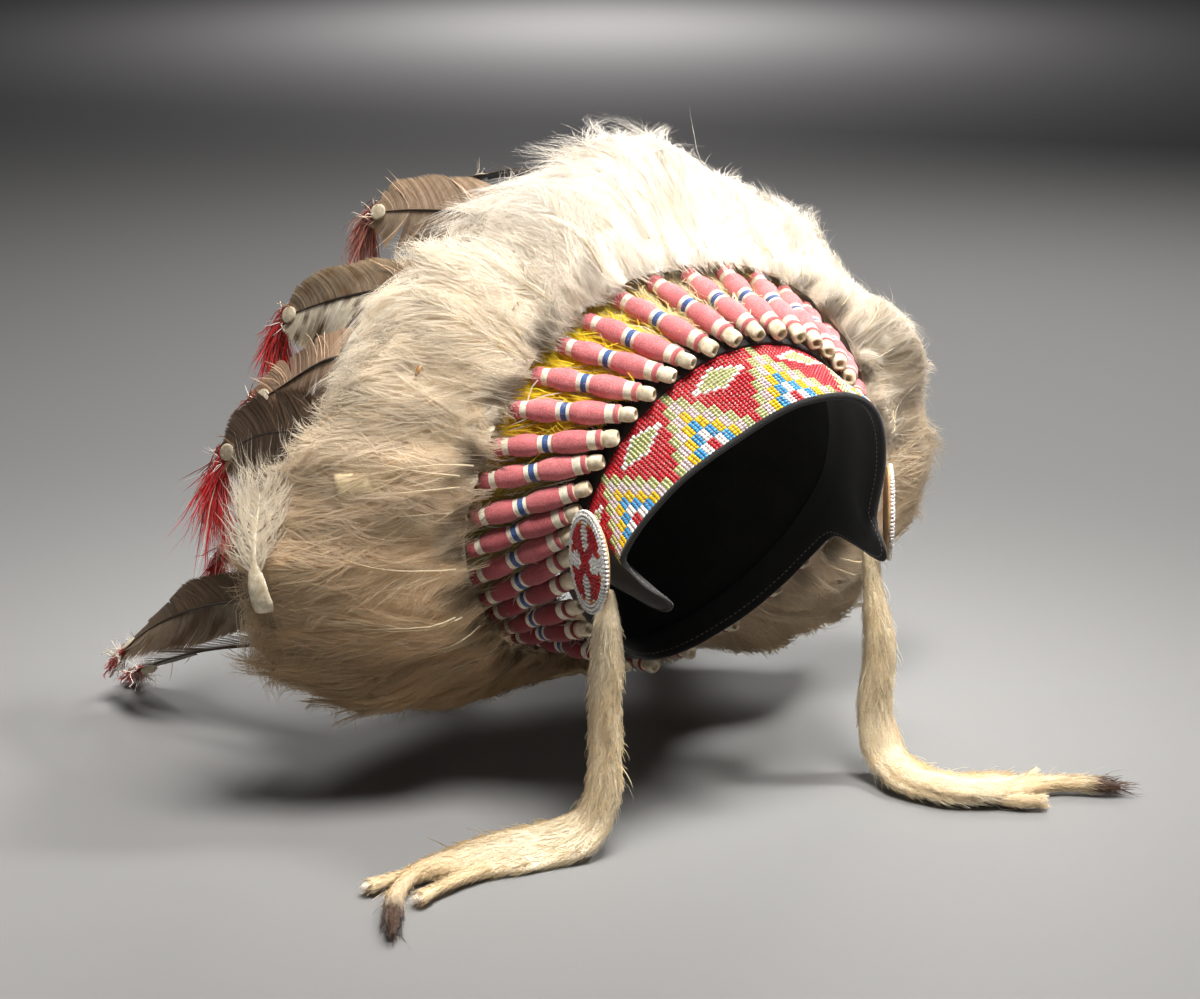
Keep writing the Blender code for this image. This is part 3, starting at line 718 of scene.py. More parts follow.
# ---- wrapped quills
wraps = {
    # the rose colours: the wool high up and lit, and low down and in shade; partly the dye, partly painted
    # light and shade
    "sides": 16, "fadedAndLitRose": (0.76, 0.215, 0.225), "deepAndShadedRose": (0.25, 0.016, 0.028), "knobEnd": 0.0044,
    "fibres": 130, "fibreWidth": 0.00013, "fibreLength": (0.0015, 0.0035), "bow": 0.0006,
    "fadeAndLightFrom": -0.145, "fadeAndLightOver": 0.12,   # the red is deep up to this height, then pales higher up: partly the dye's own fading, partly painted light from above
    "profile": (   # along and radius in mm, finish: 0 hide, 1 wool, 2 cream thread, 3 blue thread
        (0.6, 1.2, 0), (-2.8, 1.7, 0), (-3.4, 2.5, 0), (-3.0, 3.3, 0), (-1.8, 3.85, 0), (0.2, 4.10, 0),
        (2.4, 3.95, 0), (3.8, 3.55, 0), (4.3, 3.1, 0),
        (4.5, 4.2, 1), (5.0, 4.9, 1), (6.3, 4.85, 1), (7.2, 4.6, 1),
        (7.5, 4.5, 2), (7.9, 4.85, 2), (8.3, 4.6, 2), (8.7, 4.90, 2), (9.1, 4.65, 2), (9.5, 4.90, 2),
        (9.9, 4.6, 2), (10.3, 4.85, 2), (10.7, 4.5, 2),
        (11.4, 4.85, 1), (15.0, 5.60, 1), (20.4, 6.00, 1), (24.6, 5.80, 1), (28.2, 5.00, 1),
        (29.6, 4.60, 1),
        (29.9, 4.3, 2), (30.3, 4.65, 2), (30.7, 4.4, 2), (31.1, 4.65, 2), (31.5, 4.35, 2),
        (31.8, 4.55, 3), (32.2, 4.40, 3), (32.6, 4.6, 3), (33.0, 4.40, 3), (33.4, 4.6, 3), (33.8, 4.40, 3),
        (34.2, 4.55, 3),
        (34.5, 4.3, 2), (34.9, 4.65, 2), (35.3, 4.4, 2), (35.7, 4.65, 2), (36.1, 4.3, 2),
        (36.8, 4.65, 1), (39.4, 5.4, 1), (42.8, 5.85, 1), (46.6, 5.65, 1), (50.0, 5.00, 1), (52.2, 4.5, 1),
        (52.5, 4.2, 2), (52.9, 4.5, 2), (53.3, 4.2, 2), (53.7, 4.5, 2), (54.1, 4.2, 2), (54.5, 4.5, 2),
        (54.9, 4.1, 2),
        (55.5, 4.4, 1), (57.5, 4.7, 1), (59.6, 4.6, 1), (60.8, 3.9, 1), (61.0, 2.0, 1)),
}
woolCloth = grainy("woolCloth", wraps["fadedAndLitRose"], 0.92, (
    (1300.0, 5.0, 0.7, (0.3, (0.62, 0.58, 0.58)), (0.72, (1.25, 1.30, 1.30))),
    (130.0, 3.0, 0.6, (0.3, (0.85, 0.78, 0.80)), (0.7, (1.10, 1.20, 1.18)))),
    bump=(1300.0, 5.0, 0.7, 0.8, 0.0008), Sheen_Weight=0.35, Sheen_Roughness=0.45,
    Sheen_Tint=(1.0, 0.80, 0.78, 1.0))


def threadMaterial(name, dark, light):
    return grainy(name, light, 0.65, ((900.0, 4.0, 0.6, (0.3, dark), (0.7, light)),),
                  bump=(2600.0, 3.0, 0.6, 0.4, 0.0002), tinted=False, Sheen_Weight=0.15)


creamThread = threadMaterial("creamThread", (0.58, 0.50, 0.36), (0.88, 0.83, 0.68))
blueThread = threadMaterial("blueThread", (0.015, 0.035, 0.12), (0.045, 0.12, 0.34))


def inOrder(faces):
    # extruding lists faces in any order: here each starts at its lowest corner, and they are sorted
    rows = []
    for face in faces.tolist():
        first = face.index(min(face))
        rows.append(face[first:] + face[:first])
    return np.array(sorted(rows))


def modelWrap():
    # a circle drawn out ring by ring along the quill, closed at both ends
    along, radius, _ = wraps["profile"][0]
    bpy.ops.mesh.primitive_circle_add(
        vertices=wraps["sides"], radius=radius / 1000, fill_type="NGON", location=(0, 0, along / 1000))
    bpy.ops.object.mode_set(mode="EDIT")
    bpy.ops.mesh.select_all(action="SELECT")
    for nextAlong, nextRadius, _ in wraps["profile"][1:]:
        step, grow = (nextAlong - along) / 1000, nextRadius / radius
        bpy.ops.mesh.extrude_region_move(TRANSFORM_OT_translate={"value": (0, 0, step)})
        bpy.ops.transform.resize(value=(grow, grow, 1), center_override=(0, 0, nextAlong / 1000))
        along, radius = nextAlong, nextRadius
    bpy.ops.mesh.select_all(action="SELECT")
    bpy.ops.mesh.normals_make_consistent(inside=False)
    bpy.ops.object.mode_set(mode="OBJECT")
    points, groups = handModelled()
    return points, [inOrder(faces) for faces in groups]


wrapPoints, wrapFaces = modelWrap()


def finishAt(along):
    # between two rows thread wins over wool, and wool over hide
    if along < wraps["knobEnd"]:
        return 0
    for (a, _, first), (b, _, second) in zip(wraps["profile"], wraps["profile"][1:]):
        if a <= along * 1000 <= b:
            return max(first, second)
    return 1


def buildWrap(name, angle, node):
    own = np.random.default_rng(int(abs(angle) * 10) + (500 if angle < 0 else 0))
    fadedAndLit, deep = np.array(wraps["fadedAndLitRose"]), np.array(wraps["deepAndShadedRose"])
    start, direction = rimPoint(angle), wrapDirection(angle)
    across = unit(np.cross(direction, rimOutward(angle)))
    through = np.cross(direction, across)
    points = wrapPoints.copy()
    along = points[:, 2]
    turn = np.arctan2(points[:, 1], points[:, 0])
    phase = own.uniform(0, 6.28, 4)
    # every wrap is a little lumpy, its hide knob boxy, and the quill in it bowed
    lump = 1 + 0.022 * np.sin(2 * turn + phase[0] + along * 90)
    lump = lump + 0.014 * np.sin(3 * turn + phase[1] - along * 160)
    boxy = 0.07 * np.cos(4 * turn) + 0.06 * np.sin(turn * 2 + phase[2]) + 0.04 * np.sin(3 * turn + phase[3])
    points[:, :2] *= (lump * np.where(along < wraps["knobEnd"], 1 + boxy, 1.0))[:, None]
    points[:, 0] += wraps["bow"] * np.sin(np.pi * along / crown["wrapLength"]) * own.uniform(-1, 1)
    placed = start + across * points[:, :1] + through * points[:, 1:2] + direction * points[:, 2:]
    # paler higher up: partly faded dye, partly painted light falling from above
    fade = np.clip((placed[:, 2] - wraps["fadeAndLightFrom"]) / wraps["fadeAndLightOver"], 0, 1)[:, None] ** 0.8
    fade = np.clip(fade + own.uniform(-0.10, 0.10), 0, 1)
    edges = sum(np.clip(1 - np.abs(points[:, 2:] - middle) / width, 0, 1) for middle, width in (
        (0.0590, 0.0035), (0.0053, 0.0016)))
    tints = mix(mix(deep, fadedAndLit, fade), deep, 0.55 * edges)   # deeper red in bands near both ends of the wool
    batch = newBatch()
    addPart(batch, placed, [], tints)
    for faces in wrapFaces:
        slots = np.array([(3, 0, 1, 2)[finishAt(middle)] for middle in wrapPoints[faces].mean(1)[:, 2]])
        for slot in np.unique(slots):
            addFaces(batch, faces[slots == slot], slot)
    # loose fibres that stand off the wool
    count = wraps["fibres"]
    place, side = own.uniform(0.0060, 0.0600, count), own.uniform(0, fullTurn, count)
    profile = np.array(wraps["profile"])[:, :2] / 1000
    spoke = across * np.cos(side)[:, None] + through * np.sin(side)[:, None]
    radius = np.interp(place, profile[:, 0], profile[:, 1])
    root = start + direction * place[:, None] + spoke * radius[:, None] * 0.97
    lie = direction * own.normal(0, 1, (count, 1))
    lie = lie + np.cross(direction, spoke) * own.normal(0, 1, (count, 1))
    steps = np.array((0, 0.5, 1.0))[None, :, None]
    length = own.uniform(*wraps["fibreLength"], (count, 1, 1))
    paths = root[:, None] + unit(lie)[:, None] * steps * length
    paths = paths + spoke[:, None] * (steps * (1.3 - steps)) * length * 0.55
    colour = np.repeat(mix(deep, fadedAndLit, fade.mean())[None] * 1.15, count, 0)
    addStrands(batch, paths, np.full((count, 3), wraps["fibreWidth"]), spoke, colour, 1.0)
    finishPiece(name, batch, [woolCloth, creamThread, blueThread, paleHide], node)


for i, angle in enumerate(crown["quillAngles"]):
    buildWrap(f"quillWrapRight{i:02d}", angle, f"quill_wrap_right_{i:02d}")
    if 0 < angle < 180:
        buildWrap(f"quillWrapLeft{i:02d}", -angle, f"quill_wrap_left_{i:02d}")
print("wraps done")

# ---- the lines of the eagle feathers, and the bell that the white plumes make outside them
bell = {
    "edge": (   # angle, side, back, up
        (0, 0.000, 0.100, 0.074), (15, 0.058, 0.093, 0.058), (30, 0.106, 0.083, 0.034),
        (45, 0.149, 0.072, -0.009),
        (60, 0.190, 0.079, -0.056), (75, 0.208, 0.083, -0.098), (90, 0.206, 0.085, -0.138),
        (105, 0.191, 0.095, -0.169), (120, 0.152, 0.095, -0.201), (140, 0.100, 0.108, -0.208),
        (160, 0.051, 0.114, -0.208), (180, 0.000, 0.120, -0.208)),
    "relief": 0.0058, "edgeWander": 0.0055,
    "bulge": ((0.0, 0.0085), (0.08, 0.0110), (0.4, 0.0120), (0.8, 0.0095), (1.0, 0.0), (1.3, -0.004)),
    "back": ((0, 0.004), (0.1, 0.002), (0.8, -0.004), (1.0, 0.0)),
    "lift": (   # share of a feather, down over it
        (0.02, 0.0050), (0.16, 0.0056), (0.32, 0.0066), (0.42, 0.0090)),
    "leavesFeathers": 0.6, "innerBulge": 0.024,
}
eagle = {
    "feathers": (   # quill, tip side, back, up, tuft, lead, settle, fall
        (0, 0.000, 0.228, 0.039, 0.016, 0.42, 0.38, 0.41),
        (1, 0.062, 0.232, 0.028, 0.034, 0.36, 0.30, 0.22),
        (3, 0.116, 0.238, -0.025, 0.046, 0.38, 0.34, 0.37),
        (5, 0.132, 0.244, -0.071, 0.030, 0.58, 0.48, 0.41),
        (7, 0.150, 0.250, -0.101, 0.052, 0.37, 0.39, 0.60),
        (9, 0.144, 0.266, -0.160, 0.030, 0.42, 0.38, 0.52),
        (11, 0.188, 0.310, -0.225, 0.006, 0.25, 0.48, 0.75),
        (13, 0.168, 0.330, -0.2425, 0.001, 0.30, 0.40, 0.52),
        (18, 0.000, 0.330, -0.243, 0.001, 0.30, 0.40, 0.52)),
    "width": (      # share of the length, half width
        (0.00, 0.0026), (0.18, 0.0060), (0.38, 0.0140), (0.58, 0.0185), (0.78, 0.0190), (0.92, 0.0150),
        (1.00, 0.0080)),
}
featherRows = [(crown["quillAngles"][row[0]], *row[1:]) for row in eagle["feathers"]]


def featherLine(angle, share):
    # a curve that leaves the wrap straight and falls towards its tip
    angle, share = np.broadcast_arrays(np.asarray(angle, float), np.asarray(share, float))
    row = readTable(featherRows, np.abs(angle))
    tip = row[..., :3] * sideSigns(angle)
    start, direction = wrapEnd(angle), wrapDirection(angle)
    droop = unit(np.stack((tip[..., 0] * 0.10, np.full_like(angle, 0.92), -row[..., 6]), -1))
    length = np.linalg.norm(tip - start, axis=-1, keepdims=True)
    ahead = start + direction * (row[..., 4:5] * length)
    beforeTip = tip - droop * (row[..., 5:6] * length)
    t = share[..., None]
    s = 1 - t
    near = (start + direction * 0.0004) * s ** 3 + ahead * (3 * s * s * t)
    return near + beforeTip * (3 * s * t * t) + tip * t ** 3


def featherFrame(angle, share):
    angle, share = np.broadcast_arrays(np.asarray(angle, float), np.asarray(share, float))
    along = unit(featherLine(angle, np.minimum(share + 0.02, 1))
        - featherLine(angle, np.maximum(share - 0.02, 0)))
    step = np.where(angle < 180, 4.0, -4.0)
    neighbour = featherLine(angle - step, share)
    across = featherLine(angle + step, share) - neighbour
    middle = (np.abs(angle) < 1e-6) | (np.abs(angle) > 179.999)
    across = np.where(middle[..., None], np.array((1.0, 0, 0)) * neighbour[..., :1], across)
    across = unit(across - along * dot(across, along))
    outward = unit(np.cross(across, along))
    flip = np.where(dot(outward, rimOutward(angle)) < 0, -1.0, 1.0)
    return along, across * flip, outward * flip


mounds = smoothNoise(17, 9, 0.8, 2.4)


def innerBell(angles, shares, edge, direction):
    # along the eagle feathers, then out to the edge
    stops, lifts = np.array(bell["lift"]).T
    leaves = bell["leavesFeathers"]

    def overFeathers(part):
        out = featherFrame(angles, np.full_like(angles, part))[2]
        return featherLine(angles, np.full_like(angles, part)) + out * np.interp(part, stops, lifts)

    last = overFeathers(stops[-1])
    rows = []
    for share in shares:
        if share <= leaves:
            rows.append(overFeathers(np.interp(share / leaves, np.linspace(0, 1, 4), stops)))
        else:
            reach = (share - leaves) / (1 - leaves)
            bulge = bell["innerBulge"] * reach * max(1 - reach, -0.2)
            rows.append(last + (edge[:, 0] - last) * reach + direction[:, 0] * bulge)
    return np.stack(rows, 1)


def makeBell():
    # a map: angle round the crown, share of the way from a wrap's end to the plumes' edge
    angles = np.arange(-180, 181, 2.0)
    shares = np.linspace(0, 1.3, 40)
    a, s = np.meshgrid(angles, shares, indexing="ij")
    start, direction = wrapEnd(a), wrapDirection(a)
    wave = math.radians(1) * a
    mound = mounds(np.cos(wave) * 7, s * 3.0 + np.sin(wave) * 7) * bell["relief"]
    mound = mound * np.clip(s * 5, 0, 1) * np.clip(1.6 - s, 0, 1)
    edge = readTable(bell["edge"], np.abs(a)) * sideSigns(a)
    wander = bell["edgeWander"] * mounds(np.sin(wave) * 12 + 4, np.cos(wave) * 12)
    edge = edge + unit(edge - start) * wander[..., None]
    outward = featherFrame(a, np.zeros_like(a))[2] * (readTable(bell["bulge"], s) + mound[..., None])
    back = direction * straightTable(bell["back"], s)
    outer = start + (edge - start) * s[..., None] + outward + back
    length = np.linalg.norm(edge - start, axis=-1)
    return angles, shares, outer, innerBell(angles, shares, edge, direction), length[:, 0]


bellAngles, bellShares, bellOuter, bellInner, bellLength = makeBell()


def normalsAway(grid, other):
    # normals of one face of the bell, pointing away from its other face
    around = np.concatenate((grid[-2:-1], grid, grid[1:2]))
    normals = unit(np.cross(np.gradient(grid, axis=1), around[2:] - around[:-2]))
    away = dot(normals, grid - other)[:, 8:30].mean()
    return normals * (1 if away > 0 else -1)


outerNormals = normalsAway(bellOuter, bellInner)
innerNormals = normalsAway(bellInner, bellOuter)
aroundPerDegree = np.linalg.norm(np.gradient(bellOuter, 2.0, axis=0), axis=-1)[..., None]


def lookUp(grid, angle, share):
    x = (angle + 180) % 360 / 2.0
    y = np.clip(share / bellShares[1], 0, len(bellShares) - 1.001)
    i, j = np.minimum(x.astype(int), len(bellAngles) - 2), y.astype(int)
    u, v = (x - i)[..., None], (y - j)[..., None]
    return mix(mix(grid[i, j], grid[i + 1, j], u), mix(grid[i, j + 1], grid[i + 1, j + 1], u), v)


def lengthAt(angle):
    return np.interp(signed(angle), bellAngles, bellLength)


def onBell(angle, out, height, inner=False):
    # angle in degrees, out from the wraps' ends and height over the bell in metres
    length = lengthAt(angle)
    share = out / length
    grid, normals = (bellInner, innerNormals) if inner else (bellOuter, outerNormals)
    inside = np.minimum(share, 1.0)
    beyond = (np.maximum(share - 1.0, 0) * length)[..., None]
    before = (np.minimum(share, 0) * length)[..., None]
    edge = lookUp(bellOuter, angle, inside) - lookUp(bellOuter, angle, inside - 0.08)
    place = lookUp(grid, angle, inside) + lookUp(normals, angle, inside) * height[..., None]
    return place + unit(edge) * beyond + wrapDirection(signed(angle)) * before

# ---- white plumes: soft down with fine barbs that sweep back and curl at the tips
plumes = {
    "white": (0.95, 0.935, 0.910), "cream": (0.93, 0.84, 0.68), "beige": (0.52, 0.41, 0.26),
    "olive": (0.25, 0.20, 0.14), "shaft": (0.84, 0.76, 0.60), "foldShade": (0.20, 0.23, 0.28),
    "strandWidth": 0.00031, "perQuill": 6, "barbs": 32, "barbLength": 0.038, "fall": 0.42,
    "layers": (0.0, 0.004, 0.028, 0.050, 0.014, 0.040),   # where the plumes of one quill start
    "uneven": (0.060, 0.050), "unevenInside": (0.11, 0.15),   # strand by strand, lock by lock
    "underDepth": 0.0012, "underTo": 0.92,
    "warmShade": (    # angle, how much the down's colour keeps of red, green and blue: painted shade, darker and warmer lower down
        (0, 1.00, 1.00, 1.00), (20, 1.00, 0.99, 0.97), (35, 1.00, 0.97, 0.91), (50, 0.99, 0.94, 0.85),
        (70, 0.97, 0.89, 0.77), (95, 0.92, 0.82, 0.67), (140, 0.88, 0.76, 0.58), (180, 0.88, 0.76, 0.58)),
    "fields": (    # locks, strands in each, from and to on the bell, length, width, heights, lift, frizz
        ("locks", 1900, 13, -0.07, 0.93, 0.0520, 0.0050, (-0.0022, 0.0016), (0.0012, 0.0022), 0.0006,
        {"over": 0.007}),
        ("loose strands", 2600, 1, 0.0, 0.96, 0.0416, 0.0050, (-0.0010, 0.0026), (0.0026, 0.0034), 0.0012,
        {"thin": 0.8}),
        ("collar", 640, 9, -0.15, 0.03, 0.026, 0.0036, (-0.0030, 0.0012), (0.0022, 0.0030), 0.0012, {}),
        ("fringe over the wraps", 130, 7, -0.02, 0.05, 0.014, 0.0030, (-0.0045, -0.0005),
        (-0.0005, 0.0020), 0.0010,
         {"within": (-85, 60), "turn": math.pi}),
        ("edge", 620, 8, 0.80, 1.02, 0.036, 0.0050, (-0.0030, 0.0014), (0.0, 0.0060), 0.0014,
         {"over": 0.019, "thin": 0.9}),
        ("tufts", 110, 38, 0.74, 0.94, 0.060, 0.0105, (-0.0040, 0.0020), (0.0020, 0.0070), 0.0013,
         {"over": 0.036, "thin": 0.9}),
        ("wisps", 1500, 1, 0.80, 1.03, 0.046, 0.0050, (-0.0020, 0.0020), (0.0015, 0.0060), 0.0012,
         {"over": 0.030, "thin": 0.8}),
        ("crests", 60, 30, 0.72, 0.93, 0.052, 0.0080, (-0.0020, 0.0020), (0.0040, 0.0050), 0.0014,
         {"over": 0.036, "thin": 0.9, "within": (-100, 50)}),
        ("hems", 36, 28, 0.76, 0.93, 0.050, 0.0080, (-0.0030, 0.0010), (0.0000, 0.0040), 0.0014,
         {"over": 0.034, "thin": 0.9, "within": (62, 150)}),
        ("inner rim", 560, 10, 0.66, 1.0, 0.044, 0.0060, (0.0000, 0.0016), (0.0012, 0.0026), 0.0012,
         {"inner": True, "over": 0.012, "thin": 1.3}),
        ("inner face", 270, 13, 0.0, 0.95, 0.050, 0.0055, (-0.0008, 0.0010), (0.0012, 0.0018), 0.0008,
         {"inner": True, "thin": 1.5})),
}


def downMaterial(name, roughness=0.75, through=0.62):
    # light passes through the strands
    material = grainy(name, (1, 1, 1), roughness, (
        (160.0, 4.0, 0.65, (0.28, (0.93, 0.91, 0.88)), (0.70, (1.05, 1.05, 1.05))),),
        Sheen_Weight=0.25, Sheen_Roughness=0.35)
    nodes, links = material.node_tree.nodes, material.node_tree.links
    shader = nodes["Principled BSDF"]
    glow = addNode(material, "BsdfTranslucent", Color=shader.inputs["Base Color"].links[0].from_socket)
    blend = addNode(material, "MixShader", Fac=through)
    links.new(shader.outputs["BSDF"], blend.inputs[1])
    links.new(glow.outputs["BSDF"], blend.inputs[2])
    links.new(blend.outputs["Shader"], nodes["Material Output"].inputs["Surface"])
    return material


whiteDown = downMaterial("whiteDown")
underDown = grainy("underDown", plumes["cream"], 0.95, (
    (420.0, 6.0, 0.75, (0.3, (0.88, 0.85, 0.80)), (0.7, (1.06, 1.06, 1.06))),),
    bump=(420.0, 6.0, 0.75, 0.5, 0.001), Sheen_Weight=0.2)
flow = smoothNoise(11, 8, 1.5, 5.0)
curlFlow = smoothNoise(12, 8, 6.0, 16.0)
foldFlow = smoothNoise(13, 8, 1.0, 3.0)


def plumeColour(angle, share, height, spread):
    # whiter on top, yellower and browner low down, partly soiling and partly painted shade; yellower too
    # towards the outer edge on the wearer's left, and in the under-down
    right = signed(angle)
    aside = np.abs(right)
    low = np.clip((aside - 55) / 60, 0, 1)
    far = np.clip((-right - 30) / 40, 0, 1)
    wearAndShade = 0.10 + 0.75 * low * (0.35 + 0.65 * share)
    wearAndShade = wearAndShade + 0.5 * far * np.clip(share - 0.35, 0, 1) + 0.25 * (height < 0.001)
    wearAndShade = np.clip(np.clip(wearAndShade, 0, 1) + spread * 0.14, 0, 1)[:, None]
    colour = mix(plumes["white"], plumes["cream"], wearAndShade)
    colour = mix(colour, plumes["beige"], np.clip((wearAndShade - 0.72) * 1.6, 0, 0.7))
    # grey-olive where it goes in between the wraps, partly the grey down's own colour and partly painted
    # shade; painted shade in the folds between the plumes
    greyDownAndShade = (np.clip(1.15 - share * 7, 0, 1) * np.interp(aside, (18, 35, 80, 130),
        (0.10, 0.85, 0.95, 0.9)))[:, None]
    greyDownAndShade = greyDownAndShade * np.clip(0.45 + 1.1 * flow(angle * 0.22, share * 6 + 2), 0.0, 1)[:, None]
    foldShade = np.clip(0.25 - 1.1 * foldFlow(angle * 0.30, share * 1.6), 0, 1) * np.clip(share * 3, 0, 1)
    foldShade = foldShade * np.interp(aside, (15, 60), (0.4, 1.0))
    colour = colour * (1 - foldShade[:, None] * np.array(plumes["foldShade"]))
    # painted shade, darker and warmer low down, less of it on the wearer's left
    warmShade = readTable(plumes["warmShade"], aside)
    warmShade = np.where(right[:, None] > 0, warmShade, 0.55 + 0.45 * warmShade)
    return mix(colour, plumes["olive"], greyDownAndShade) * warmShade


steps5 = np.array((0.0, 0.22, 0.48, 0.75, 1.0))


def onePlume(length, lean, bend, start, height, barbs, own):
    # the barbs of one plume, as paths of five points across, out and up
    t = np.sort(own.uniform(0.04, 0.98, barbs * 2))
    side = np.where(np.arange(barbs * 2) % 2 == 0, 1.0, -1.0)
    heading = np.arctan2(lean + 2 * bend * t, 1.0)
    profile = np.interp(t, (0.0, 0.12, 0.45, 0.8, 1.0), (0.5, 0.9, 1.0, 0.75, 0.45))
    reach = plumes["barbLength"] * profile * own.uniform(0.75, 1.2, len(t))
    opening = np.interp(t, (0, 0.5, 1.0), (0.62, 0.48, 0.16)) * own.uniform(0.75, 1.2, len(t))
    clump = np.sin(t * own.uniform(25, 45) + own.uniform(0, 6.28)) * 0.16
    closing = steps5 * 0.75
    u, v = [length * (lean * t + bend * t * t)], [start + length * t]
    for k in range(1, 5):
        turn = heading + side * (opening + clump) * (1 - closing[k]) + own.normal(0, 0.07, len(t))
        step = reach * (steps5[k] - steps5[k - 1])
        u.append(u[-1] + np.sin(turn) * step)
        v.append(v[-1] + np.cos(turn) * step)
    rise = own.uniform(-0.0004, 0.0016, (len(t), 1)) + height
    h = rise + steps5[None] ** 2 * own.normal(0.0012, 0.0018, (len(t), 1))
    return np.stack(u, 1), np.stack(v, 1), h


def lockPaths(own, members, angle, v0, length, width, heading, sweep, height, lift, frizz):
    # locks of down: strands that start apart, run along one wavy line and meet near its tip
    count = len(angle)
    turn = heading[:, None] + sweep[:, None] * steps5[None] ** 1.3
    run = np.diff(steps5, prepend=0)[None] * length[:, None]
    centreU = np.cumsum(np.sin(turn) * run, 1)
    centreV = v0[:, None] + np.cumsum(np.cos(turn) * run, 1)
    grow = own.uniform(0.70, 1.12, (count, members, 1))
    rootU = own.uniform(-1, 1, (count, members, 1)) * width[:, None, None]
    rootV = own.uniform(-1, 1, (count, members, 1)) * width[:, None, None] * 1.6
    tipU = own.normal(0, 0.30, (count, members, 1)) * width[:, None, None]
    s = steps5[None, None]
    gather = (1 - s) ** 1.3
    u = centreU[:, None] * grow + rootU * gather + tipU * s
    u = u + own.normal(0, 1, (count, members, 5)) * frizz * s
    v = v0[:, None, None] + (centreV - v0[:, None])[:, None] * grow + rootV * gather
    v = v + own.normal(0, 1, (count, members, 5)) * frizz * s
    arch = np.sin(np.pi * s) * own.uniform(0.0004, 0.0020, (count, 1, 1))
    h = height[:, None, None] + own.uniform(-0.0010, 0.0008, (count, members, 1)) + arch
    h = h + s ** 1.8 * (lift[:, None, None] + own.normal(0, 0.0009, (count, members, 1)))
    return np.repeat(angle, members), *(part.reshape(count * members, 5) for part in (u, v, h))


def toBell(angle, u, v, h, inner=False):
    # from across, out and up in metres to places on the bell
    per = lookUp(aroundPerDegree, angle + u * 0, np.clip(v / lengthAt(angle), 0.02, 1.25))[..., 0]
    turned = angle + u / np.maximum(per, 0.0006)
    return turned, v / lengthAt(turned), onBell(turned, v, h, inner)


def batchFor(angle):
    middle = signed(angle)
    return 0 if abs(middle) < 40 else (1 if middle > 0 else 2)


plumeBatches = [newBatch(), newBatch(), newBatch()]
strandShade = np.random.default_rng(32)


def addPlumePaths(angles, u, v, h, width, spread, inner=False, over=0.010, roll=0.32):
    # strands go only so far past the bell's edge, each a little differently so that the edge is ragged
    length = lengthAt(angles)[:, None]
    low, high = (0.5, 1.05) if over > 0.020 else (0.2, 1.7)
    over = over * strandShade.uniform(low, high, (len(angles), 1))
    v = np.where(v > length, length + over * np.tanh((v - length) / over), v)
    turned, share, paths = toBell(angles[:, None], u, v, h, inner)
    facing = unit(lookUp(innerNormals if inner else outerNormals, turned, np.clip(share, 0, 1.0)))
    shades = (0.90, 0.97, 1.0, 1.02, 1.03)   # painted shade: darker at the root, from root to tip
    tints = [plumeColour(turned[:, k], share[:, k], h[:, k], spread) * shades[k] for k in range(5)]
    strand, lock = plumes["unevenInside"] if inner else plumes["uneven"]
    locks, member = np.unique(angles, return_inverse=True)
    uneven = 1 + strand * strandShade.normal(0, 1, len(angles))
    uneven = uneven + lock * strandShade.normal(0, 1, len(locks))[member]
    tints = np.stack(tints, 1) * np.clip(uneven, 0.6, 1.2)[:, None, None]
    widths = width[:, None] * np.array((0.8, 1.0, 0.9, 0.6, 0.3))[None]
    which = np.array([batchFor(a) for a in angles])
    for k, batch in enumerate(plumeBatches):
        at = which == k
        if at.any():
            addStrands(batch, paths[at], widths[at], facing[at], tints[at], roll,
                soft=0.70 if inner else 0.90)


def growLocks(own, count, members, low, high, size, width, heights, lift, frizz,
              inner=False, over=0.010, thin=1.0, within=(-180, 180), turn=0.0):
    angle = own.uniform(*within, count)
    keep = own.uniform(0, 1, count) < np.interp(np.abs(angle), (0, 120, 180), (1.0, 0.95, 0.45))
    angle = angle[keep]
    n = len(angle)
    share = own.uniform(low, high, n)
    v0 = share * lengthAt(angle)
    across, out = angle * 0.08 + 9 * inner, v0 * 30   # neighbours lie and curl alike
    heading = flow(across, out) * 0.42 + own.normal(0, 0.14, n) + turn
    sweep = curlFlow(across, out) * 0.75 + own.normal(0, 0.28, n)
    sweep = sweep + plumes["fall"] * np.sin(np.radians(angle)) * np.minimum(share, 0.6)
    length = size * own.uniform(0.65, 1.35, n)
    paths = lockPaths(own, members, angle, v0, length, width * own.uniform(0.6, 1.4, n), heading, sweep,
                      own.uniform(*heights, n), own.normal(*lift, n), frizz)
    spread = np.repeat(own.normal(0, 0.55, n), members) + own.normal(0, 0.5, n * members)
    wide = own.uniform(0.7, 1.3, n * members) * plumes["strandWidth"] * thin
    addPlumePaths(*paths, wide, spread, inner=inner, over=over)


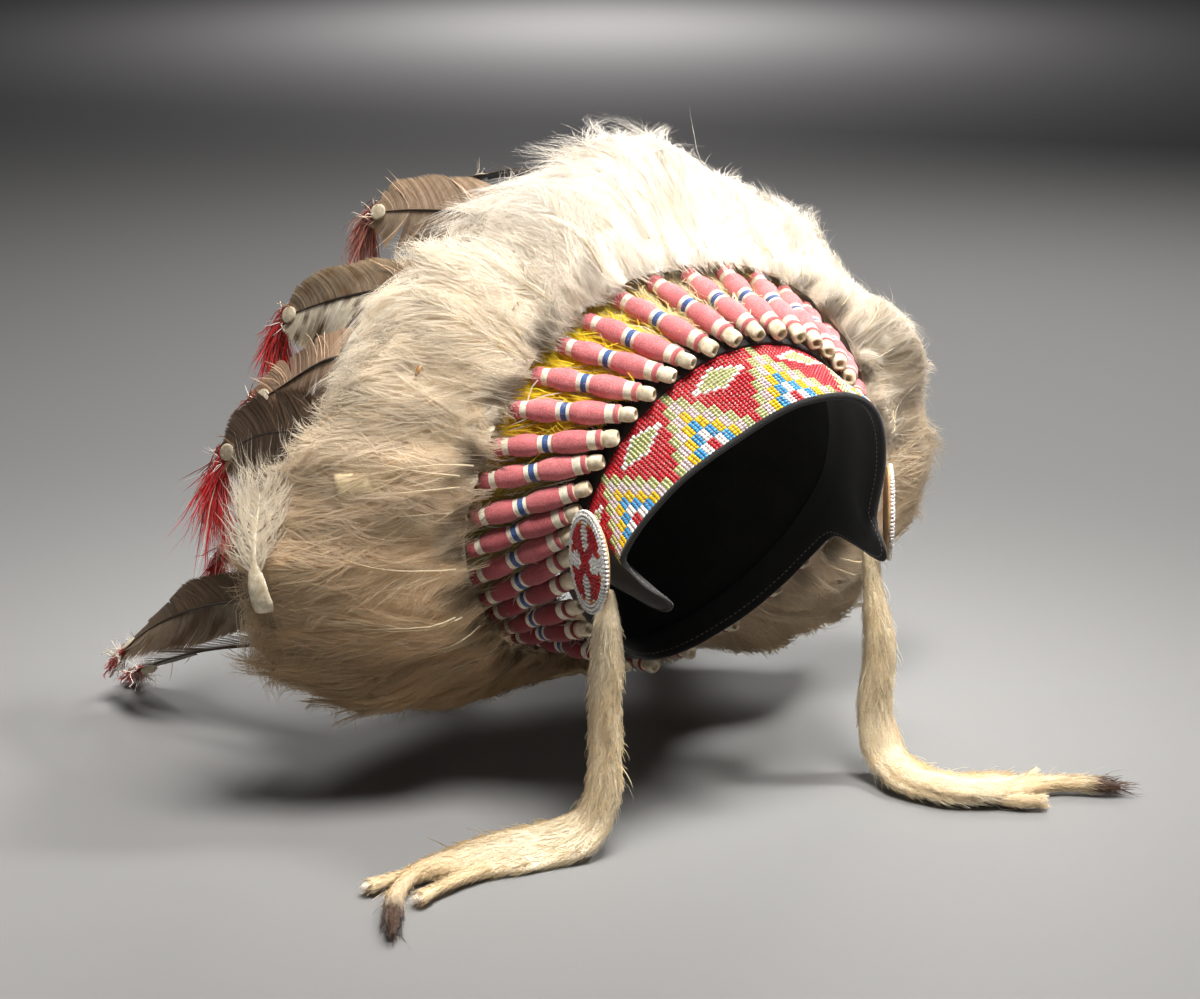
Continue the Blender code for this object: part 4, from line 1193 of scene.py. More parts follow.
def buildPlumes():
    own = np.random.default_rng(31)
    found, spreads, shafts = [], [], []
    for quill in [*crown["quillAngles"], *leftQuills]:
        length = np.interp(quill, bellAngles, bellLength)
        for layer in range(plumes["perQuill"]):
            angle = quill + own.uniform(-4.5, 4.5) * (1.6 if abs(quill) > 130 else 1.0)
            start = plumes["layers"][layer] + own.uniform(0, 0.012)
            reach = np.clip(length - start + own.uniform(-0.010, 0.006), 0.02, own.uniform(0.095, 0.16))
            lean, bend, height = own.normal(0, 0.10), own.normal(0, 0.14), own.uniform(0.0, 0.0030)
            u, v, h = onePlume(reach, lean, bend, start, height, plumes["barbs"], own)
            found.append((np.full(len(u), angle), u, v, h))
            spreads.append(np.full(len(u), own.normal(0, 0.6)) + own.normal(0, 0.5, len(u)))
            if layer == 0 or (layer == 1 and own.uniform() < 0.35):
                shafts.append((angle, lean, bend, start, reach, height))
    paths = [np.concatenate(part) for part in zip(*found)]
    width = own.uniform(0.7, 1.7, len(paths[0])) * plumes["strandWidth"]
    addPlumePaths(*paths, width, np.concatenate(spreads), roll=0.28)
    for _, *sizes, extra in plumes["fields"]:
        growLocks(own, *sizes, **extra)
    for angle, lean, bend, start, reach, height in shafts:
        t = np.linspace(0, own.uniform(0.35, 0.75), 9)
        u, v = reach * (lean * t + bend * t * t), start + reach * t
        h = height + 0.0014 + 0.0006 * np.sin(t * 3)
        line = toBell(np.full((1, 1), angle), u[None], v[None], h[None])[2][0]
        addTube(plumeBatches[batchFor(angle)], line, np.linspace(0.00048, 0.00010, 9), 5, plumes["shaft"])
    for part, batch in zip(("Top", "Right", "Left"), plumeBatches):
        finishPiece("whitePlumes" + part, batch, [whiteDown], "plume_ruff")


def buildUnderDown():
    # the dense down below the barbs: one closed bell, a little inside its outer form
    depth = plumes["underDepth"]
    share = bellShares <= plumes["underTo"]
    lumps = smoothNoise(21, 10, 2.0, 9.0)
    a, s = np.meshgrid(bellAngles[:-1], bellShares[share], indexing="ij")
    rough = 0.0011 * lumps(a * 0.12, s * 5)
    fade = np.clip((1.0 - s) * 12, 0, 1)[..., None]
    start = np.clip(1 - s * 12, 0, 1)   # near the wraps it goes in between them
    away, within = outerNormals[:-1][:, share], innerNormals[:-1][:, share]
    tuck = start[..., None] * wrapDirection(bellAngles[:-1])[:, None]
    outer = bellOuter[:-1][:, share] - away * (depth + rough)[..., None] * fade
    inner = bellInner[:-1][:, share] - within * (depth * 0.6 + rough)[..., None] * fade - tuck * 0.0050
    outer = outer - tuck * (0.0045 + 0.0020 * lumps(a * 0.5, s))[..., None]
    outer = outer - away * (start * 0.0030)[..., None]
    last = int(share.sum())
    shrink = np.interp(np.arange(last), (last - 4, last - 1), (0.0, 0.8))[None, :, None]
    middle = (outer + inner) / 2
    outer, inner = outer + (middle - outer) * shrink, inner + (middle - inner) * shrink
    none = np.zeros(len(a))
    # a little darker than the barbs: painted shade below them
    colours = np.stack([plumeColour(a[:, k], s[:, k], none, none) for k in range(last)], 1) * 0.95
    batch = newBatch()
    faces = ((outer, inner), (colours, colours))
    rings, tints = (np.concatenate((one, other[:, -2::-1]), 1) for one, other in faces)
    addLoft(batch, rings, tints, ringsClosed=True)
    recalculate(finishPiece("plumeUnderDown", batch, [underDown], "plume_ruff"))


buildPlumes()
buildUnderDown()
print("plumes done")

# ---- one loose plume with a broad cut quill, and a thick hollow quill that has slid out of its wrap
loosePlume = {
    "angles": (86.0, 66.0), "outs": (0.100, 0.108), "height": 0.0105, "arch": 0.004, "flat": 0.30,
    "wall": 0.0006,
    "shape": (   # share of the length, radius
        (0, 0.0052), (0.08, 0.0056), (0.26, 0.0046), (0.34, 0.0012), (1.0, 0.0002)),
    "barbs": 230, "barbsFrom": 0.26, "barbLength": 0.030, "barbWidth": 0.00062,
    "colour": (0.93, 0.87, 0.76), "quill": (0.86, 0.79, 0.64),
}
hollowQuill = {
    "angles": (63.2, 65.4), "outs": (0.022, 0.071), "height": 0.0018, "buried": 0.0062,
    "radii": (0.0040, 0.0066),
    "flat": 0.42, "wall": 0.0005, "colour": (0.64, 0.52, 0.34),
    "flecks": ((33.0, 0.022), (47.0, 0.051)),   # small brown bits in the down
    "fleckColour": (0.36, 0.17, 0.05),
}
hornQuill = grainy("hornQuill", loosePlume["quill"], 0.38, (
    (260.0, 4.0, 0.6, (0.3, (0.80, 0.76, 0.68)), (0.7, (1.05, 1.05, 1.05))),),
    Subsurface_Weight=0.35, Subsurface_Radius=(0.004, 0.0025, 0.0015))


def hollowTube(batch, line, radii, sides, tints, wall, facing, flat):
    # an open tube with an inner face, its cut end left open
    tangent = unit(np.gradient(line, axis=0))
    side = unit(np.cross(tangent, facing))
    spoke = spokes(side, np.cross(side, tangent) * flat, np.linspace(0, fullTurn, sides, endpoint=False))
    outer = line[:, None] + spoke * radii[:, None, None]
    inner = (line[:, None] + spoke * np.maximum(radii - wall, radii * 0.5)[:, None, None])[::-1]
    addLoft(batch, np.concatenate((outer, inner)), tints, ringsClosed=True)


def buildLoosePlume():
    own = np.random.default_rng(81)
    batch = newBatch()
    t = np.linspace(0, 1, 15)
    angles, outs = np.linspace(*loosePlume["angles"], 15), np.linspace(*loosePlume["outs"], 15)
    line = onBell(angles, outs, loosePlume["height"] + loosePlume["arch"] * np.sin(t * math.pi))
    facing = lookUp(outerNormals, angles, np.ones_like(angles))
    radii = straightTable(loosePlume["shape"], t)[:, 0]
    hollowTube(batch, line, radii, 12, loosePlume["quill"], loosePlume["wall"], facing, loosePlume["flat"])
    number, root = loosePlume["barbs"], loosePlume["barbsFrom"]
    place = np.linspace(root, 0.99, number)
    side = np.where(np.arange(number) % 2 == 0, 1.0, -1.0)
    at = alongLine(t, line, place)
    way = unit(alongLine(t, np.gradient(line, axis=0), place))
    face = unit(alongLine(t, facing, place))
    across = np.cross(way, face) * side[:, None]
    reach = loosePlume["barbLength"] * np.interp(place, (root, 0.5, 0.85, 1.0), (0.75, 1.0, 0.9, 0.5))
    reach = reach * own.uniform(0.85, 1.1, number)
    bend = np.interp(steps5, (0, 1), (1.20, 0.05))[None] + own.normal(0, 0.16, (number, 1))
    bend = (bend + (0.22 * np.sin(place * 38))[:, None])[..., None]
    run = np.diff(steps5, prepend=0)[None, :, None]
    paths = np.cumsum((across[:, None] * np.sin(bend) + way[:, None] * np.cos(bend)) * run, 1)
    paths = paths * reach[:, None, None]
    wild = np.interp(place, (root, 0.50, 1.0), (0.0034, 0.0012, 0.0008))[:, None, None]
    paths = at[:, None] + paths + own.normal(0, 1, (number, 5, 3)) * wild * steps5[None, :, None]
    paths = paths + face[:, None] * (steps5 ** 2 * own.normal(0.001, 0.002, (number, 1)))[..., None]
    widths = np.full((number, 5), loosePlume["barbWidth"]) * np.array((1.0, 1.0, 0.8, 0.5, 0.2))
    tints = np.clip(np.array(loosePlume["colour"]) * own.uniform(0.92, 1.04, (number, 1)), 0, 1)
    addStrands(batch, paths, widths, face, tints, 0.35, 1, soft=0.4)
    finishPiece("loosePlume", batch, [paleHide, whiteDown], "plume_ruff")


def buildHollowQuill():
    batch = newBatch()
    t = np.linspace(0, 1, 22)
    angles = np.linspace(*hollowQuill["angles"], 22)
    height = hollowQuill["height"] - hollowQuill["buried"] * np.clip(1 - t * 1.5, 0, 1)
    line = onBell(angles, np.linspace(*hollowQuill["outs"], 22), height)
    facing = lookUp(outerNormals, angles, np.full(22, 0.5))
    radii = np.linspace(*hollowQuill["radii"], 22)
    hollowTube(batch, line, radii, 16, hollowQuill["colour"], hollowQuill["wall"], facing,
        hollowQuill["flat"])
    for angle, out in hollowQuill["flecks"]:
        fleck = onBell(angle + np.linspace(-0.8, 0.8, 5), np.full(5, out), np.full(5, 0.0030))
        addTube(batch, fleck, (0.0003, 0.0010, 0.0013, 0.0009, 0.0003), 7, hollowQuill["fleckColour"])
    finishPiece("hollowQuill", batch, [hornQuill], "plume_ruff")


buildLoosePlume()
buildHollowQuill()
print("loose plume done")

# ---- eagle feathers: a dark shaft, two vanes of hooked barbs, a hide dot and a tuft of dyed hair
vanes = {
    "start": 0.26, "end": 0.985, "pitch": 0.00115, "camber": 0.0042, "overlap": 1.5, "splits": 4,
    "splitReach": 0.0024, "looseBarbs": 14, "shaftTo": 0.975, "dotAt": 0.955,
    "dotSize": (0.0068, 0.0045, 0.0017),
    "cream": (1.00, 0.90, 0.70), "shaft": (0.045, 0.032, 0.024), "quill": (0.62, 0.52, 0.34),
    "hair": (0.55, 0.45, 0.36), "fluff": (0.80, 0.73, 0.62), "twistFrom": 0.25, "twistTo": 0.62,
    "looks": {   # quill: vane, edge, mottling of the lower vane, tuft hairs, their colour, twist, breadth
        # the vane tones are partly the feathers' own and partly painted light: feathers lying in the
        # plumes' shade are given lighter tones
        0: ((0.020, 0.013, 0.009), (0.034, 0.020, 0.012), 0.0, 90, (0.60, 0.022, 0.022), 0.0, 1.0),
        1: ((0.52, 0.37, 0.255), (0.70, 0.52, 0.34), 0.15, 380, (0.42, 0.15, 0.11), 52.0, 1.22),
        3: ((0.19, 0.118, 0.066), (0.62, 0.44, 0.24), 0.99, 340, (0.58, 0.030, 0.028), 24.0, 1.25),
        5: ((0.60, 0.41, 0.27), (0.68, 0.46, 0.29), 0.0, 240, (0.60, 0.022, 0.022), 14.0, 1.40),
        7: ((0.27, 0.175, 0.110), (0.30, 0.195, 0.115), 0.0, 360, (0.62, 0.016, 0.018), 8.0, 1.40),
        9: ((0.31, 0.175, 0.085), (0.40, 0.225, 0.105), 0.1, 260, (0.62, 0.016, 0.018), 0.0, 1.0),
        11: ((0.120, 0.070, 0.036), (0.240, 0.130, 0.060), 0.1, 170, (0.62, 0.016, 0.018), 0.0, 1.0),
        13: ((0.085, 0.052, 0.030), (0.180, 0.100, 0.048), 0.1, 170, (0.62, 0.016, 0.018), 0.0, 1.0),
        18: ((0.085, 0.052, 0.030), (0.180, 0.100, 0.048), 0.1, 170, (0.62, 0.016, 0.018), 0.0, 1.0)},
}
vaneBarbs = grainy("vaneBarbs", (1, 1, 1), 0.56, (
    (240.0, 5.0, 0.7, (0.3, (0.82, 0.80, 0.78)), (0.7, (1.16, 1.16, 1.16))),),
    bump=(1500.0, 3.0, 0.6, 0.35, 0.0003), Sheen_Weight=0.03, Sheen_Roughness=0.4, Specular_IOR_Level=0.22)
dyedHair = grainy("dyedHair", (1, 1, 1), 0.50, (
    (300.0, 3.0, 0.6, (0.3, (0.7, 0.66, 0.66)), (0.7, (1.2, 1.2, 1.2))),), Sheen_Weight=0.15)
featherMottle = smoothNoise(41, 9, 350.0, 900.0)


def modelDot():
    # a round-cornered button of hide
    bpy.ops.mesh.primitive_cylinder_add(vertices=14, radius=1.0, depth=0.5)
    bpy.ops.object.modifier_add(type="BEVEL")
    bpy.context.object.modifiers["Bevel"].width = 0.22
    bpy.ops.object.modifier_apply(modifier="Bevel")
    return handModelled()


dotPoints, dotFaces = modelDot()


def keepAbove(points, level):
    points[..., 2] = np.maximum(points[..., 2], level)


def vaneFrame(angle, share, twist):
    # the feather's directions, with its face turned towards the wearer's side
    angle, share = np.asarray(angle, float), np.asarray(share)
    along, across, outward = featherFrame(angle, share)
    towards = featherLine(angle + np.where(angle >= 0, 2.0, -2.0), share) - featherLine(angle, share)
    sense = np.where(dot(towards, across) < 0, -1.0, 1.0)
    ease = np.clip((share - vanes["twistFrom"]) / (vanes["twistTo"] - vanes["twistFrom"]), 0, 1)[..., None]
    turn = math.radians(twist) * ease * ease * (3 - 2 * ease)
    turned = across * np.cos(turn) - outward * np.sin(turn) * sense
    return along, turned, outward * np.cos(turn) + across * np.sin(turn) * sense


def addVane(batch, angle, side, lower, own, look):
    vane, edge, mottled, _, _, twist, broad = look
    mottled = mottled if lower else mottled * 0.12
    start, end = vanes["start"], vanes["end"]
    length = lengthOf(featherLine(angle, np.linspace(0, 1, 40)))
    count = int(length * (end - start) / vanes["pitch"])
    root = np.linspace(start, end, count) + own.normal(0, 0.0006, count)
    t = np.array((0.0, 0.22, 0.48, 0.76, 1.0))
    width = readTable(eagle["width"], np.minimum(root + 0.07, 1.0))[..., 0] * broad
    width = width * np.sqrt(np.clip(1 - (np.clip(root - 0.84, 0, 1) / 0.17) ** 2, 0.12, 1))
    width = width * (1 + 0.012 * own.normal(0, 1, count) + 0.03 * np.sin(root * 37 + angle))
    width = width * (1.0 if lower else 0.86)
    width = width[:, None]
    reach = width * (0.62 * t + 0.62 * t * t) * np.interp(root, (0.3, 0.85, 1.0), (1.25, 1.0, 1.5))[:, None]
    across = width * t ** 0.92
    curl = np.zeros(count)
    # splits, where the barbs have come unhooked and lean apart
    splits = own.uniform(start + 0.12, 0.93, own.integers(vanes["splits"] - 2, vanes["splits"] + 2))
    for split in splits:
        gap = (root - split) * length
        size = own.uniform(0.4, 1.0) * vanes["splitReach"]
        reach = reach + (np.sign(gap) * np.exp(-np.abs(gap) / 0.008) * size)[:, None] * t ** 2
        curl = curl + np.sign(gap) * np.exp(-np.abs(gap) / 0.010) * own.normal(0, 0.0016)
    share = root[:, None] + reach / length
    _, acrossWay, outward = vaneFrame(np.full_like(share, angle), np.minimum(share, 1.0), twist)
    wave = 0.0012 * np.sin(root * own.uniform(18, 30) + own.uniform(0, 6))
    camber = vanes["camber"] * (across / 0.019) ** 2 * own.uniform(0.7, 1.3)
    height = 0.0008 - camber + (curl + wave)[:, None] * t ** 1.5
    points = featherLine(np.full_like(share, angle), share) + acrossWay * (side * across)[..., None]
    points = points + outward * height[..., None]
    keepAbove(points, surface["vane"] + 0.0006 * t)
    pattern = featherMottle(share * 0.10, across * 2.2 + share * 0.12)
    pale = np.clip((pattern + 0.75) * 2.2, 0, 1)[..., None] * mottled
    far = np.clip((across / np.maximum(width, 0.004) - 0.55) * 1.6, 0, 1)[..., None] ** 1.5
    tint = mix(mix(vane, edge, far * 0.75), vanes["cream"], pale)
    tint = tint * (1 + 0.085 * own.normal(0, 1, (count, 1, 1))) * (0.85 + 0.15 * t[None, :, None])
    widths = vanes["pitch"] * vanes["overlap"] * np.array((1.0, 1.0, 1.05, 1.05, 0.8))[None]
    widths = widths * np.ones((count, 1))
    addStrands(batch, points, widths, outward, np.clip(tint, 0.004, 1), 0.14)
    # a few barbs that have come loose and stand off the edge
    loose = own.choice(count, vanes["looseBarbs"], replace=False)
    drift = own.normal(0, 0.0030, (len(loose), 1, 3)) * t[None, :, None] ** 2
    off = points[loose] + drift + outward[loose] * (t ** 2 * 0.0030)[None, :, None]
    keepAbove(off, surface["looseBarb"])
    addStrands(batch, off, widths[loose] * 0.22, outward[loose], np.clip(tint[loose] * 1.7, 0, 1), 0.6)


def addTuft(batch, angle, fall, own, look):
    hairs, colour, twist = look[3], np.array(look[4]), look[5]
    tip = featherLine(angle, vanes["end"])
    along, across, outward = vaneFrame(angle, 1.0, twist)
    t = np.array((0.0, 0.25, 0.5, 0.75, 1.0))
    short = fall < 0.010   # on the table the hair spreads instead of hanging
    down = np.array((0.0, 0.0, -1.0)) * (0.15 if short else 0.85)
    kinds = (   # number, colour, thickness
        ("hair", hairs, colour, 0.00058), ("pale", int(hairs * 0.30), np.array(vanes["hair"]), 0.00058),
        ("down", 110 if short else 26, np.array(vanes["fluff"]), 0.00034))
    for kind, number, tone, thick in kinds:
        reach = own.uniform(0.55, 1.08, (number, 1))
        start = tip + across * own.normal(0, 0.0030, (number, 1))
        start = start + outward * own.normal(0.0010, 0.0010, (number, 1))
        if kind == "pale":   # the undyed hair on the side towards the feather
            start = start - outward * 0.0025 + along * 0.002
        lean = across * own.normal(0, 0.26, (number, 1)) + outward * own.normal(0.05, 0.20, (number, 1))
        lean = lean + along * own.normal(0, 0.10, (number, 1))
        run = own.uniform(0.7, 1.25, (number, 1)) * 0.0120
        curve = start[:, None] + along * (np.sin(t * 1.5708)[None] * run)[..., None] * 1.05
        hang = (t ** 1.5)[None] * max(fall, 0.010) * 1.05 * reach
        curve = curve + (down + lean)[:, None] * hang[..., None]
        clump = np.sin(np.arange(number) * 1.7)[:, None, None] * across * (t * 0.0022)[None, :, None]
        curve = curve + clump + own.normal(0, 0.0012, (number, 5, 3)) * t[None, :, None]
        if kind == "down":
            spread = unit(own.normal(0, 1, (number, 3)) + along * 0.9 + outward * 0.3)
            size = t[None] * own.uniform(0.006, 0.015, (number, 1))
            curve = start[:, None] + spread[:, None] * size[..., None]
            curve = curve + own.normal(0, 0.0012, (number, 5, 3)) * t[None, :, None]
        keepAbove(curve, surface["vane"])
        tints = np.clip(tone * (1 + 0.22 * own.normal(0, 1, (number, 1))), 0.004, 1)
        widths = np.full((number, 5), thick) * np.array((1, 1.1, 1, 0.8, 0.4))
        addStrands(batch, curve, widths, outward[None].repeat(number, 0), tints, 1.2, 1)
    # the dot that covers the tip of the shaft
    local = dotPoints * np.array(vanes["dotSize"])
    face = unit(outward * 0.8 - along * 0.1 + across * own.normal(0, 0.1))
    second = unit(np.cross(face, along))
    place = featherLine(angle, vanes["dotAt"]) + outward * 0.0022
    points = place + np.cross(second, face) * local[:, :1] + second * local[:, 1:2] + face * local[:, 2:]
    addPart(batch, points, dotFaces, (1, 1, 1), 2)
    # red thread bound below the dot
    ring = featherLine(angle, np.linspace(0.972, 0.992, 4)) + outward * 0.0008
    addTube(batch, ring, (0.0012, 0.0022, 0.0024, 0.0012), 7, colour * 0.9, 1)


def buildFeather(name, angle, row, node):
    look = vanes["looks"][row[0]]
    own = np.random.default_rng(int(abs(angle) * 10) + (900 if angle < 0 else 100))
    batch = newBatch()
    shares = np.linspace(0.0, vanes["shaftTo"], 26)
    radii = np.interp(shares, (0, 0.2, 0.6, vanes["shaftTo"]), (0.0017, 0.0016, 0.0010, 0.00035))
    outward = vaneFrame(np.full(26, angle), shares, look[5])[2]
    tints = mix(vanes["quill"], vanes["shaft"], np.clip((shares - 0.22) * 6, 0, 1)[:, None])
    addTube(batch, featherLine(np.full(26, angle), shares) + outward * 0.0009, radii, 6, tints)
    acrossZ = vaneFrame(angle, 0.7, look[5])[1][2]
    for side in (-1, 1):
        addVane(batch, angle, side, side * acrossZ < 0, own, look)
    addTuft(batch, angle, row[4], own, look)
    finishPiece(name, batch, [vaneBarbs, dyedHair, paleHide], node)


for row in eagle["feathers"]:
    angle = crown["quillAngles"][row[0]]
    buildFeather(f"eagleFeatherRight{row[0]:02d}", angle, row, f"eagle_feather_right_{row[0]:02d}")
    if 0 < angle < 180:
        buildFeather(f"eagleFeatherLeft{row[0]:02d}", -angle, row, f"eagle_feather_left_{row[0]:02d}")
print("eagle feathers done")

# ---- dyed and grey down that shows between the wrapped quills
fluff = {
    "perDegree": 23, "length": 0.024, "width": 0.00050, "inward": 0.0030,
    "left": (0.60, 0.54, 0.42), "pale": (0.80, 0.76, 0.66),
    "tones": (   # angle, red, green, blue
        (0, 0.78, 0.70, 0.50), (16, 0.80, 0.66, 0.30), (24, 0.95, 0.74, 0.03), (52, 0.92, 0.66, 0.025),
        (62, 0.62, 0.44, 0.07), (76, 0.42, 0.34, 0.10), (92, 0.30, 0.25, 0.12), (106, 0.52, 0.48, 0.40),
        (125, 0.40, 0.36, 0.30), (180, 0.45, 0.40, 0.33)),
    "layer": (   # out along the wraps, depth below their lines
        (0.018, -0.0040), (0.032, -0.0042), (0.046, -0.0040), (0.058, -0.0030), (0.072, -0.0010),
        (0.072, -0.0022), (0.058, -0.0045), (0.046, -0.0056), (0.032, -0.0058), (0.018, -0.0052)),
}
dyedDown = downMaterial("dyedDown", 0.7, 0.40)


def wrapFrame(angles):
    # along the wraps, round the crown, and up from the wraps
    direction, around = wrapDirection(angles), rimAround(angles)
    normal = unit(np.cross(direction, around))
    return direction, around, normal * np.sign(dot(normal, rimOutward(angles)))


def fluffTone(angles):
    # yellow above the brow, grey at the ears; less dyed on the left
    return mix(straightTable(fluff["tones"], np.abs(angles)), fluff["left"], (angles < -30)[:, None] * 0.6)


def buildFluff():
    own = np.random.default_rng(61)
    number = int(360 * fluff["perDegree"])
    angles = own.uniform(-180, 180, number)
    quills = np.sort([*crown["quillAngles"], *leftQuills])
    place = np.searchsorted(quills, angles)
    below = quills[np.clip(place - 1, 0, len(quills) - 2)]
    above = quills[np.clip(place, 1, len(quills) - 1)]
    offMiddle = np.abs((angles - below) / np.maximum(above - below, 1) - 0.5) * 2
    angles = angles[own.uniform(0, 1, number) > offMiddle ** 2 * 0.8]
    number = len(angles)
    along = own.uniform(0.008, 0.066, number)
    steps = np.array((0.0, 0.25, 0.5, 0.75, 1.0))
    length = fluff["length"] * own.uniform(0.5, 1.2, number)
    turn = own.normal(0, 0.36, number)[:, None] + steps[None] * own.normal(0, 0.5, (number, 1))
    run = np.diff(steps, prepend=0)[None] * length[:, None]
    out = (along[:, None] + np.cumsum(np.cos(turn) * run, 1))[..., None]
    aside = np.cumsum(np.sin(turn) * run, 1)[..., None]
    lift = own.normal(-fluff["inward"], 0.0016, number)[:, None] + own.normal(0, 0.0012, (number, 5))
    direction, around, normal = wrapFrame(angles)
    paths = rimPoint(angles)[:, None] + direction[:, None] * out + around[:, None] * aside
    paths = paths + normal[:, None] * lift[..., None]
    tones = np.clip(fluffTone(angles) * (1 + 0.18 * own.normal(0, 1, (number, 1))), 0.01, 1)
    tones = np.where((own.uniform(0, 1, number) < 0.14)[:, None], np.array(fluff["pale"]), tones)
    batch = newBatch()
    widths = np.full((number, 5), fluff["width"]) * np.array((0.8, 1.1, 1.0, 0.8, 0.4))
    addStrands(batch, paths, widths, normal, tones, 0.8, soft=0.5)
    # a soft layer behind, so that little shows through between the quills; darker than the strands, as
    # painted shade
    angles = np.arange(-180, 180, 3.0)
    direction, around, normal = wrapFrame(angles)
    lumps = smoothNoise(63, 8, 2.0, 7.0)
    rings = []
    for out, depth in fluff["layer"]:
        rough = 0.0008 * lumps(angles * 0.2, angles * 0 + out * 200)[:, None]
        rings.append(rimPoint(angles) + direction * (out + rough) + normal * (depth + rough))
    addLoft(batch, np.stack(rings, 1), fluffTone(angles) * 0.75, 1, ringsClosed=True)
    finishPiece("quillFluff", batch, [dyedDown, underDown], "plume_ruff")


buildFluff()
print("fluff done")

# ---- ermine skins: thin folded skins with short fur, two legs and a dark tail tip each
ermine = {
    "cream": (0.98, 0.81, 0.53), "pale": (1.00, 0.90, 0.71), "tan": (0.52, 0.36, 0.18),
    "dark": (0.105, 0.052, 0.030),
    # the colour that darkens the skins where they lie on the table is painted shade
    "claw": (0.90, 0.86, 0.78), "pad": (0.50, 0.33, 0.20), "lyingShade": (0.90, 0.86, 0.80), "fullness": 1.14,
    "core": 0.86, "tailFrom": 0.86, "furLength": 0.0056, "furWidth": 0.00034, "furs": 6400,
    "guardHairs": 130,
    "sides": 30, "rings": 96, "legUp": -0.2462, "legHalfWidth": 0.0048, "legFurs": 900, "legFur": 0.0045,
    "leg": (   # share of the leg, share of its half width
        (0, 0.90), (0.45, 0.85), (0.78, 0.62), (0.84, 0.85), (0.95, 0.95), (1.0, 0.35)),
    "right": (   # side, back, up, width, depth
        (-0.0890, -0.0340, -0.1150, 0.004, 0.0030), (-0.0893, -0.0336, -0.1240, 0.012, 0.0070),
        (-0.0900, -0.0332, -0.1360, 0.017, 0.0100), (-0.0907, -0.0330, -0.1520, 0.020, 0.0115),
        (-0.0910, -0.0315, -0.1740, 0.022, 0.0130), (-0.0910, -0.0315, -0.2000, 0.022, 0.0140),
        (-0.0925, -0.0305, -0.2220, 0.022, 0.0150), (-0.1000, -0.0270, -0.2380, 0.024, 0.0140),
        (-0.1180, -0.0220, -0.2435, 0.028, 0.0130), (-0.1420, -0.0180, -0.2440, 0.030, 0.0120),
        (-0.1620, -0.0170, -0.2445, 0.025, 0.0110), (-0.1780, -0.0130, -0.2450, 0.014, 0.0100),
        (-0.1920, -0.0150, -0.2455, 0.010, 0.0090), (-0.2040, -0.0240, -0.2455, 0.009, 0.0080),
        (-0.2130, -0.0340, -0.2455, 0.010, 0.0085), (-0.2260, -0.0530, -0.2460, 0.010, 0.0080),
        (-0.2340, -0.0660, -0.2470, 0.003, 0.0030)),
    "left": (    # side, back, up, width, depth
        (0.0850, -0.0200, -0.1260, 0.010, 0.0050), (0.0865, -0.0220, -0.1460, 0.014, 0.0110),
        (0.0880, -0.0255, -0.1700, 0.018, 0.0150), (0.0880, -0.0255, -0.1960, 0.018, 0.0160),
        (0.0880, -0.0265, -0.2200, 0.019, 0.0160), (0.0885, -0.0350, -0.2370, 0.023, 0.0150),
        (0.0890, -0.0530, -0.2430, 0.026, 0.0130), (0.0950, -0.0730, -0.2440, 0.029, 0.0120),
        (0.1070, -0.0860, -0.2440, 0.029, 0.0120), (0.1220, -0.0930, -0.2445, 0.024, 0.0110),
        (0.1360, -0.0960, -0.2450, 0.013, 0.0100), (0.1470, -0.0980, -0.2455, 0.010, 0.0090),
        (0.1560, -0.1035, -0.2455, 0.010, 0.0085), (0.1670, -0.1135, -0.2460, 0.010, 0.0080),
        (0.1750, -0.1200, -0.2470, 0.003, 0.0030)),
    # side and back of each leg's start and end
    "rightLegs": ((-0.160, -0.012, -0.217, -0.0135), (-0.156, -0.026, -0.204, -0.0400)),
    "leftLegs": ((0.118, -0.084, 0.149, -0.0830), (0.110, -0.096, 0.128, -0.1125)),
}
furSkin = grainy("furSkin", ermine["cream"], 0.85, (
    (60.0, 4.0, 0.6, (0.35, (0.86, 0.80, 0.70)), (0.65, (1.06, 1.05, 1.03))),
    (800.0, 4.0, 0.7, (0.3, (0.75, 0.72, 0.68)), (0.7, (1.10, 1.10, 1.10)))),
    bump=(800.0, 4.0, 0.7, 0.8, 0.0012), Sheen_Weight=0.4, Sheen_Roughness=0.4)
furHair = downMaterial("furHair", 0.60, 0.25)
upward = np.array((0, 0, 1.0))


def skinLine(table, count, across):
    # the skin's middle line and its directions, carried along it without twisting
    rows = [(k, *row) for k, row in enumerate(table)]
    rows = readTable(rows, np.linspace(0, len(rows) - 1, count))
    line = rows[:, :3]
    along = unit(np.gradient(line, axis=0))
    acrossWays = []
    for step in along:
        across = unit(across - step * np.dot(across, step))
        acrossWays.append(across)
    acrossWays = np.array(acrossWays)
    return line, along, acrossWays, np.cross(along, acrossWays), rows[:, 3] / 2, rows[:, 4] / 2


def furTone(place, whiteness):
    # along a skin: paler in patches, darker where it lies on the table as painted shade, dark at the tail's
    # tip
    tone = mix(ermine["cream"], ermine["pale"], whiteness)
    tone = tone * mix((1, 1, 1), ermine["lyingShade"], np.interp(place, (0.50, 0.68), (0.0, 1.0))[:, None])
    return mix(tone, ermine["dark"], np.clip((place - 0.872) / 0.05, 0, 1)[:, None] ** 1.5)


